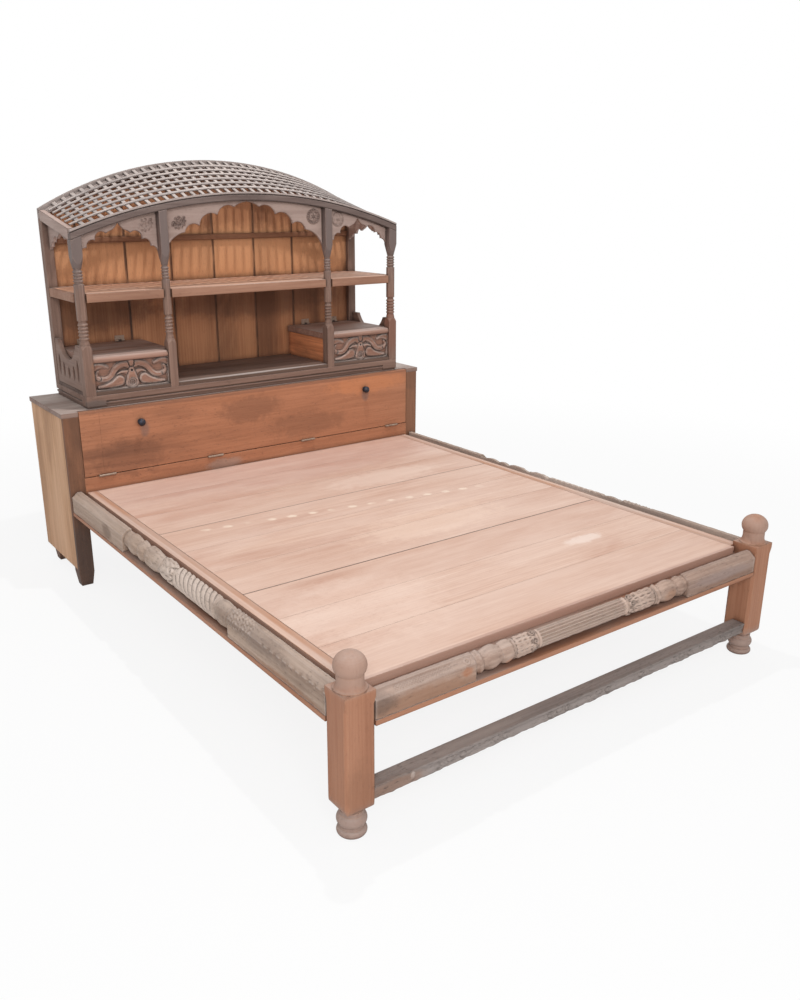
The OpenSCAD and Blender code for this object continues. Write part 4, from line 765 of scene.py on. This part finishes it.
# %% Profiles
def swell(u0, u1, r0, r1, steps=12):
    """Profile points of a swelling from u0 to u1 that rises from r0 to r1 and back."""
    return [(u0 + (u1 - u0) * i / steps, r0 + (r1 - r0) * math.sin(math.pi * i / steps))
            for i in range(steps + 1)]


def beam_radius(angle, r):
    """Distance from a half column's axis to the faces of its plain, bevelled stretch."""
    bevel_h, bevel_in = 0.020, 0.024
    out, up = np.maximum(np.cos(angle), 1e-6), np.sin(angle)
    face = r - 0.001
    faces = [face / out, r / np.maximum(-up, 1e-6), face / np.maximum(up, 1e-6)]
    side, top = bevel_h, bevel_in - 0.001
    faces.append((side * face + top * (face - bevel_h)) / np.maximum(side * out + top * up, 1e-6))
    return np.minimum.reduce(faces)


def turned_radius(u, profile):
    return np.interp(u, *zip(*profile))


def weathered(along, around, radius, plain, beam, r, coarse, fine, seed):
    """The turned surface and the plain stretches, a little worn, and never outside the rough timber."""
    radius = np.where(plain, beam, radius)
    worn = 0.0006 * wobble(along, around, coarse, seed) + 0.0003 * wobble(along, around, fine, seed + 1)
    return np.minimum(radius + worn - 0.0004, np.where(plain, beam + 0.0002, r))


pillar_x = -0.020
foot_low, foot_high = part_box("foot_rail_column")
foot_r = (foot_high[2] - foot_low[2]) / 2
foot_axis_z = (foot_high[2] + foot_low[2]) / 2
print("foot column radius", round(foot_r, 4), "m")

# %% Foot pillar
def half_pillar(r, flute_end, capital_end, disc_end, bulb_end, ring_end):
    """Profile of one half of the pillar, from its middle outwards."""
    return [(0, r - 0.007), (flute_end, r - 0.007), (flute_end + 0.010, r - 0.008),
            (capital_end - 0.004, r - 0.006), (capital_end - 0.002, r - 0.003), (capital_end, r - 0.008),
            *swell(capital_end + 0.003, disc_end, r - 0.005, r - 0.001, 6),
            (disc_end + 0.001, r - 0.008), *swell(disc_end + 0.003, bulb_end, r - 0.009, r),
            (bulb_end + 0.001, r - 0.007),
            *swell(bulb_end + 0.004, ring_end - 0.014, r - 0.005, r - 0.001, 6),
            (ring_end - 0.012, r - 0.006), (ring_end, r - 0.006)]


hatch_pitch = 0.009
left_places = (0.207, 0.305, 0.348, 0.417, 0.452)
right_places = (0.172, 0.307, 0.326, 0.411, 0.458)


def capital(toward_disc, length, around):
    """Two rows of leaves that spring from the disc, and scrolls at the fluted end."""
    pitch = 0.030
    height = 0.0 * around
    for k in range(-3, 4):
        at, between = k * pitch, (k + 0.5) * pitch
        low = leaf(toward_disc, around, (length, between), (0.3 * length, between), 0.016, 0, 3)
        tall = leaf(toward_disc, around, (length, at), (0.010, at), 0.018, 0, 4)
        curl = scroll(toward_disc, around, (0.018, between), 0.013, hand=1 if k % 2 else -1)
        height = np.maximum.reduce([height, 0.0065 * low, 0.0085 * tall, 0.0090 * curl])
    return height


def foot_pillar_radius(u, angle):
    r = foot_r
    tilt = 0.12 * r * np.sin(angle)
    radius = np.where(u < 0, turned_radius(-(u + tilt), half_pillar(r, *left_places)),
                      turned_radius(u + tilt, half_pillar(r, *right_places)))
    flute = ((angle / np.pi + 0.5) * 9) % 1 - 0.5
    fluted = rise(u, 0.004 - left_places[0], 0.016 - left_places[0])
    fluted = fluted * rise(-u, 0.004 - right_places[0], 0.016 - right_places[0])
    radius = radius - 0.0062 * dome(flute, 0.40) * fluted
    for sign, places in ((-1, left_places), (1, right_places)):
        toward_disc = sign * u - places[0]
        length = places[1] - places[0] - 0.006
        carved = (toward_disc > 0) & (toward_disc < length)
        radius = radius + np.where(carved, capital(toward_disc, length, angle * r) - 0.0035, 0)
        disc = (sign * (u + tilt) > places[1] + 0.001) & (sign * (u + tilt) < places[2])
        facet = np.cos(np.pi / 8) / np.cos(angle % (np.pi / 4) - np.pi / 8)
        radius = np.where(disc, radius * (0.25 + 0.75 * facet), radius)
    plain = (u < -left_places[-1]) | (u > right_places[-1])
    beam = beam_radius(angle, r)
    on_bevel = rise(angle, 0.5, 0.56) * rise(-angle, -1.16, -1.1)
    panel = rise(u, -0.722, -0.716) * rise(-u, 0.525, 0.531) * on_bevel
    one_way, other_way = (np.sin(np.pi * (u + hand * angle * r) / hatch_pitch) for hand in (1, -1))
    hatch = np.maximum(np.abs(one_way), np.abs(other_way))
    beam = beam - 0.0016 * panel * (0.35 + 0.65 * rise(hatch, 0.86, 0.99))
    knot = np.hypot(u + 0.478, (angle - 0.8) * r)
    beam = beam + 0.0018 * dome(knot - 0.008, 0.0035) + 0.0015 * dome(knot, 0.003)
    return weathered(u, angle * r, radius, plain, beam, r, 0.05, 0.012, 3)


foot_ends = (foot_low[0] - pillar_x, foot_high[0] - pillar_x)
foot_stations = np.concatenate([np.arange(foot_ends[0], -0.74, 0.006), np.arange(-0.74, 0.47, 0.0014),
                                np.arange(0.47, foot_ends[1], 0.006), [foot_ends[1]]])
carved_bar("foot_pillar_carved", "foot_rail_column", "foot_carved", foot_stations, foot_pillar_radius,
           lambda u, out, up: (u + pillar_x, foot_high[1] - out, foot_axis_z + up))

# %% [markdown]
# ## The pillars on the side rails
# The side rails carry longer pillars of the same kind. From the foot: a plain bevelled stretch with small
# notches along its ridge, a hollow ring, a twist of slanting ribs, a sheath of leaves, a bulb with two
# rings, and a plain stretch up to the head box. The left and right ones mirror each other.

# %% Side pillars
plain_end, plain_start = 0.534, 1.372
sheath_pitch = 0.056
sides = (("left", -1), ("right", 1))


def side_pillar_radius(v, angle):
    r = side_r
    profile = [(plain_end, r - 0.006), (0.546, r - 0.006), (0.556, r - 0.002),
               *swell(0.560, 0.622, r - 0.004, r), (0.626, r - 0.006), (0.634, r - 0.006),
               (0.640, r - 0.001), (0.922, r - 0.001), (0.928, r - 0.004),
               *swell(0.932, 1.052, r - 0.006, r - 0.003), (1.056, r - 0.010),
               *swell(1.060, 1.190, r - 0.010, r), (1.194, r - 0.010),
               *swell(1.198, 1.246, r - 0.007, r - 0.001, 6), (1.250, r - 0.010),
               *swell(1.254, 1.340, r - 0.009, r - 0.001, 8), (1.346, r - 0.008), (plain_start, r - 0.008)]
    around = angle * r
    radius = turned_radius(v, profile)
    twist = ((v - 0.75 * around) / 0.031) % 1 - 0.5
    ribbed = rise(v, 0.640, 0.652) * rise(-v, -0.922, -0.910)
    radius = radius - ribbed * 0.0088 * (1 - dome(twist, 0.46) ** 0.6)
    sheath = 0.0 * v
    for k in range(-1, 2):
        at = sheath_pitch * k
        fan = leaf(v, around, (1.048, at), (0.936, at), 0.032, 0, 3)
        curl = scroll(v, around, (0.962, at + sheath_pitch / 2), 0.022, 1.2)
        petal = leaf(v, around, (1.180, at), (1.080, at), 0.020, 0, 2)
        sheath = np.maximum.reduce([sheath, 0.010 * fan, 0.009 * curl, 0.0035 * petal])
    radius = radius - 0.0055 * rise(v, 0.932, 0.940) * rise(-v, -1.050, -1.044) + sheath
    plain = (v < plain_end) | (v > plain_start)
    beam = beam_radius(angle, r)
    notch = dome((v / 0.034) % 1 - 0.5, 0.22) * dome(angle - 0.47, 0.12) * (v < 0.34)
    rough = rise(v, 0.39, 0.40) * rise(-v, -0.53, -0.52) * rise(angle, -0.1, 0.1)
    beam = beam - 0.003 * notch - 0.0022 * rough * (0.6 + wobble(v, around, 0.016, 8))
    return weathered(v, around, radius, plain, beam, r, 0.06, 0.013, 5)


for side, sign in sides:
    low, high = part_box("side_column_" + side)
    side_r = (high[2] - low[2]) / 2
    side_axis_x = high[0] if sign < 0 else low[0]
    side_axis_z = (high[2] + low[2]) / 2
    stations = np.concatenate([np.arange(0, 0.38, 0.004), np.arange(0.38, 1.38, 0.0018),
                               np.arange(1.38, high[1] - low[1], 0.008), [high[1] - low[1]]])
    carved_bar(f"side_pillar_carved_{side}", "side_column_" + side, "side_carved", stations,
               side_pillar_radius,
               lambda v, out, up: (side_axis_x + sign * out, low[1] + v, side_axis_z + up))

# %% [markdown]
# ## The stretcher
# The stretcher was cut from an older carved beam. Its front face still has a line of small buds and
# leaves, which is half worn away, and its lower edge is chewed and wavy.

# %% Stretcher
beam_low, beam_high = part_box("stretcher")
beam_inner_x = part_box("foot_rail_column")[1][0]
bud_pitch = 0.042


def stretcher_relief(x, z):
    up = z - beam_low[2]
    height = 0.0 * x
    for k in range(-14, 20):
        centre = k * bud_pitch + 0.007 * math.sin(7.3 * k)
        hand = 1 if k % 2 else -1
        curl = dome(np.hypot(x - centre, 1.2 * (up - 0.019 - 0.003 * hand)), 0.011)
        spray = leaf(x, up, (centre + 0.006, 0.014), (centre + 0.034, 0.014 + 0.014 * hand), 0.009, 0.002, 3)
        height = np.maximum.reduce([height, curl, 0.9 * spray])
    field = rise(x, -0.62, -0.58) * rise(up, 0.004, 0.007) * rise(-up, -0.031, -0.028)
    worn_away = rise(wobble(x, up, 0.16, 11), -0.5, 0.3)
    ragged = rise(0.008 - up, 0, 0.006) * (0.5 + 0.5 * wobble(x, up, 0.03, 12))
    waves = 0.0006 * wobble(x, up, 0.07, 13)
    return -0.0055 * field * (1 - height * worn_away) - 0.004 * ragged - 0.0006 + waves


chewed_z = beam_low[2] + 0.002
outline = [(x, chewed_z + 0.0018 * float(wobble(x, 0.0, 0.11, 14)))
           for x in np.arange(-beam_inner_x, beam_inner_x, 0.006)]
outline += [(beam_inner_x, chewed_z), (beam_inner_x, beam_high[2]), (-beam_inner_x, beam_high[2])]
carved_board("stretcher_carved", "stretcher", "stretcher", outline, spacing=0.0022,
             thick=beam_high[1] - beam_low[1] - 0.001, relief=stretcher_relief,
             place=lambda x, z, out: (x, beam_low[1] + 0.001 - out, z))

# %% [markdown]
# ## The carved fronts of the corner boxes
# Each front was cut from a carved bracket: a bud at the top, two heavy arms that sweep down and curl, a
# broad leaf under each, and a ring with a rosette at the foot. The ground between them is cut deep, which
# reads as black in the photo.

# %% Corner box fronts
def front_relief(a, b):
    forms = []
    for hand in (-1, 1):
        side = hand * a
        arm = curve((0.006, 0.094), (0.050, 0.112), (0.080, 0.070))
        arm += curve((0.080, 0.070), (0.098, 0.034), (0.140, 0.050))[1:]
        forms += [limb(side, b, arm, 0.0155, 0.0115),
                  limb(side, b, curve((0.140, 0.050), (0.160, 0.062), (0.143, 0.080)), 0.011, 0.007),
                  limb(side, b, curve((0.054, 0.034), (0.084, 0.016), (0.142, 0.015)), 0.024, 0.007),
                  limb(side, b, curve((0.160, 0.096), (0.136, 0.110), (0.102, 0.094)), 0.017, 0.008),
                  limb(side, b, curve((0.022, 0.066), (0.042, 0.074), (0.062, 0.062)), 0.011, 0.004)]
    forms += [limb(a, b, [(0, 0.084), (0, 0.056), (0, 0.022)], 0.012, 0.031),
              limb(a, b, [(0, 0.100), (0, 0.108)], 0.014, 0.016)]
    height = 0.0 * a
    for inside in forms:
        body = np.clip(inside / 0.006, 0, 1) ** 0.55
        outlined = np.maximum(height - 0.55 * (inside < 0.0028), body)
        incised = 1 - 0.22 * dome(inside - 0.0055, 0.0014)
        height = np.where(inside > 0.0005, np.minimum(outlined, incised), height)
    far, turn = np.hypot(a, b - 0.023), np.arctan2(b - 0.023, a)
    petals = dome(far, 0.011) * (0.55 + 0.3 * np.cos(8 * turn))
    rosette = np.maximum(0.75 * dome(far - 0.0155, 0.0035), petals)
    height = np.where(far < 0.019, 0.35 + 0.65 * rosette, height)
    for x, z in ((0, 0.073), (0.030, 0.085), (-0.030, 0.085)):
        height = height * rise(np.hypot(a - x, b - z), 0.003, 0.0055)
    margin = np.maximum(rise(0.0055 - b, 0, 0.0015), rise(np.abs(a) - 0.157, 0, 0.0015))
    return 0.0105 * np.maximum(height, 0.8 * margin) - 0.0112


front_low, front_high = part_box("corner_box_fronts")
inner_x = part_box("middle_post_right")[1][0]
half_front = (front_high[0] - inner_x) / 2
front_h = front_high[2] - front_low[2]
outline = [(-half_front, 0), (half_front, 0), (half_front, front_h), (-half_front, front_h)]
for side, sign in sides:
    middle = sign * (inner_x + half_front)
    carved_board(f"corner_front_carved_{side}", "corner_box_fronts", "front", outline, spacing=0.0017,
                 thick=front_high[1] - front_low[1] - 0.001,
                 relief=lambda a, b: front_relief(a, b) + 0.0006 * wobble(a, b, 0.03, 21 + sign),
                 place=lambda a, b, out: (middle + a, front_low[1] + 0.001 - out, front_low[2] + b))

# %% [markdown]
# ## The cusped arches
# Each arch board has a smooth face with a low bead that follows the cusps. Where two arches meet at a
# middle post, both carry the same ornament: a ring of small beads round a flower on the right, and a
# wreath of leaves on the left. The cusps are arcs between set points, with the same numbers as in the
# joinery, so the carved board fills the same place.

# %% Outline of an arch
def arc_points(start, end, bulge, steps=9):
    """Points of an arc that bulges upwards. bulge is its height as a share of its width."""
    start, end = np.array(start), np.array(end)
    chord = np.hypot(*(end - start))
    sag = bulge * chord
    r = (chord ** 2 / 4 + sag ** 2) / (2 * sag)
    across = (end - start) / chord
    centre = (start + end) / 2 + (r - sag) * np.array([across[1], -across[0]])
    first, last = (math.atan2(*(point - centre)[::-1]) for point in (start, end))
    if last > first:
        last -= 2 * math.pi
    turns = np.linspace(first, last, steps)
    return [(centre[0] + r * math.cos(t), centre[1] + r * math.sin(t)) for t in turns]


def cusped_edge(half, crown_z, low_z, cusps, point, tip_z):
    """Lower edge of an arch board from its left foot to its right foot."""
    corners = [(half * x, crown_z - half * drop) for x, drop, _ in cusps]
    crown = arc_points((-corners[0][0], corners[0][1]), corners[0], cusps[0][2], 25)
    reach = half * point
    shoulder_z = tip_z - 0.55 * reach
    tip = ((-reach, tip_z - reach), (-0.4 * reach, shoulder_z), (0, tip_z), (0.4 * reach, shoulder_z),
           (reach, tip_z - reach))
    crown = [(x, max(z, float(np.interp(x, *zip(*tip), -9, -9)))) for x, z in crown]
    right = []
    for i in range(1, len(corners)):
        right += arc_points(corners[i - 1], corners[i], cusps[i][2])[1:]
    right.append((half, low_z))
    return [(-x, z) for x, z in reversed(right)] + crown + right


centre_cusps = ((0.157, 0.068, 0.17), (0.37, 0.15, 0.24), (0.592, 0.262, 0.27), (0.771, 0.328, 0.27),
                (1, 0.516, 0.14))
bay_cusps = ((0.31, 0.27, 0.16), (0.6, 0.43, 0.36), (0.82, 0.6, 0.3), (1, 0.737, 0.2))
print(len(centre_cusps) * 2 - 1, "lobes in the middle arch")

# %% Arches
def ring_of_beads(a, b):
    far, turn = np.hypot(a, b), np.arctan2(b, a)
    bead = np.hypot(far - 0.029, 0.029 * (turn % (np.pi / 9) - np.pi / 18))
    petals = dome(far - 0.012, 0.008) * (0.3 + 0.7 * np.abs(np.cos(3 * turn)))
    return np.maximum.reduce([dome(bead, 0.0046), petals, dome(far, 0.0045)])


def wreath(a, b):
    far, turn = np.hypot(a, b), np.arctan2(b, a)
    shape = dome(far - 0.014, 0.003) * (0.5 + 0.5 * np.cos(5 * turn)) + dome(far, 0.006)
    for degrees in range(190, 360, 28):
        at = math.radians(degrees)
        base = (0.020 * math.cos(at), 0.020 * math.sin(at))
        tip = (0.036 * math.cos(at + 0.5), 0.036 * math.sin(at + 0.5))
        shape = np.maximum(shape, leaf(a, b, base, tip, 0.0068, 0.002, 3))
    return np.minimum(shape, 1)


def arch_relief(a, b, cusps, ornaments, lift):
    edge = path_distance(a, b, cusps)
    height = 0.0008 * dome(edge - 0.004, 0.004) - 0.0018 * dome(edge - 0.0105, 0.0020)
    for shape, x, z in ornaments:
        height = np.maximum(height, lift * shape(a - x, b - z))
    return height - 0.0034 + 0.0005 * wobble(a, b, 0.05, 31)


board_top_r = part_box("arch_centre")[1][2] - arc_centre_z
arch_front_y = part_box("arch_bay_left")[0][1]


def front_arch(name, node, middle, half, crown_z, cusps, point, tip_z, lift, ornaments):
    """Carved arch board between two front posts, its upper edge on the arc of the roof."""
    edge = cusped_edge(half, crown_z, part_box(node)[0][2], cusps, point, tip_z)
    top = [(x, arc_centre_z + math.sqrt(board_top_r ** 2 - (middle + x) ** 2))
           for x in np.linspace(half, -half, 40)]
    carved_board(name, node, "arch_x", edge + top, spacing=0.0021, thick=0.0135,
                 relief=lambda a, b: arch_relief(a, b, edge, ornaments, lift),
                 place=lambda a, b, out: (middle + a, arch_front_y - out, b))


front_arch("arch_centre_carved", "arch_centre", middle=0.0, half=0.3815, crown_z=1.558,
           cusps=centre_cusps, point=0.03, tip_z=1.558, lift=0.0065,
           ornaments=[(ring_of_beads, 0.336, 1.487), (wreath, -0.322, 1.480)])
for side, sign, shape in (("left", -1, wreath), ("right", 1, ring_of_beads)):
    front_arch(f"arch_bay_carved_{side}", "arch_bay_" + side, middle=sign * 0.58025, half=0.16275,
               crown_z=1.4809, cusps=bay_cusps, point=0.221, tip_z=1.4769, lift=0.0032,
               ornaments=[(shape, -sign * 0.112, 1.474)])

# %% [markdown]
# ## Floor and light
# The photo is cut out on white, so the floor is a large pale sheet. Its material shows white to the
# camera and to mirror-like reflections, and only takes light for its shadow: part of it glows for camera
# rays, and the rest is plain diffuse white. The light is a wide soft lamp beside the camera, low enough
# to look under the shelf, a smaller one above for the lattice's shadow, and an even white world.

# %% Floor
def seen_directly(finish):
    path = finish.node("LightPath").outputs
    return finish.math("MAXIMUM", path["Is Camera Ray"],
                       finish.math("MAXIMUM", path["Is Glossy Ray"], path["Is Transmission Ray"]))


floor_finish = Finish("studio_floor")
floor_finish.shader.inputs["Base Color"].default_value = (0.8, 0.8, 0.8, 1)
floor_finish.shader.inputs["Roughness"].default_value = 0.9
floor_glow = floor_finish.node("Emission", {"Color": (1, 1, 1, 1), "Strength": 1.0})
floor_mix = floor_finish.node("MixShader")
floor_far = floor_finish.node("VectorMath", {0: floor_finish.node("NewGeometry").outputs["Position"]},
                              operation="LENGTH").outputs["Value"]
floor_share = floor_finish.spread(floor_far, 1.6, 4.5, 0.86, 1.0)
floor_finish.feed(floor_mix, 0, floor_finish.times(seen_directly(floor_finish), floor_share))
floor_finish.feed(floor_mix, 1, floor_finish.shader.outputs[0])
floor_finish.feed(floor_mix, 2, floor_glow.outputs[0])
floor_finish.feed(floor_finish.tree.nodes["Material Output"], "Surface", floor_mix.outputs[0])
floor_mesh = bpy.data.meshes.new("floor")
floor_mesh.from_pydata([(-30, -30, 0), (30, -30, 0), (30, 30, 0), (-30, 30, 0)], [], [(0, 1, 2, 3)])
floor = placed("floor", floor_mesh)
floor.data.materials.append(floor_finish.material)
floor.location.z = -0.001
print("floor laid")

# %% World and lamps
world = bpy.data.worlds.new("studio")
bpy.context.scene.world = world
world.use_nodes = True
sky = world.node_tree.nodes["Background"]
sky.inputs["Color"].default_value = (1, 1, 1, 1)
path = world.node_tree.nodes.new("ShaderNodeLightPath")
seen = world.node_tree.nodes.new("ShaderNodeMath")
seen.operation = "MAXIMUM"
world.node_tree.links.new(path.outputs["Is Camera Ray"], seen.inputs[0])
world.node_tree.links.new(path.outputs["Is Glossy Ray"], seen.inputs[1])
strength = world.node_tree.nodes.new("ShaderNodeMapRange")
strength.inputs["To Min"].default_value = 0.55
strength.inputs["To Max"].default_value = 1.0
world.node_tree.links.new(seen.outputs[0], strength.inputs["Value"])
world.node_tree.links.new(strength.outputs[0], sky.inputs["Strength"])


def lamp(name, place, aim, size, watts):
    data = bpy.data.lights.new(name, "AREA")
    data.shape = "RECTANGLE"
    data.size, data.size_y = size
    data.energy = watts
    made = placed(name, data)
    made.location = place
    made.rotation_euler = (Vector(aim) - Vector(place)).to_track_quat("-Z", "Y").to_euler()


lamp("window", (-2.6, -4.4, 3.2), (0, 0.3, 0.7), (2.6, 1.8), 135)
lamp("overhead", (0.2, 0.1, 4.4), (0, 0.9, 1.0), (0.09, 0.09), 70)
print("two lamps and a white world")
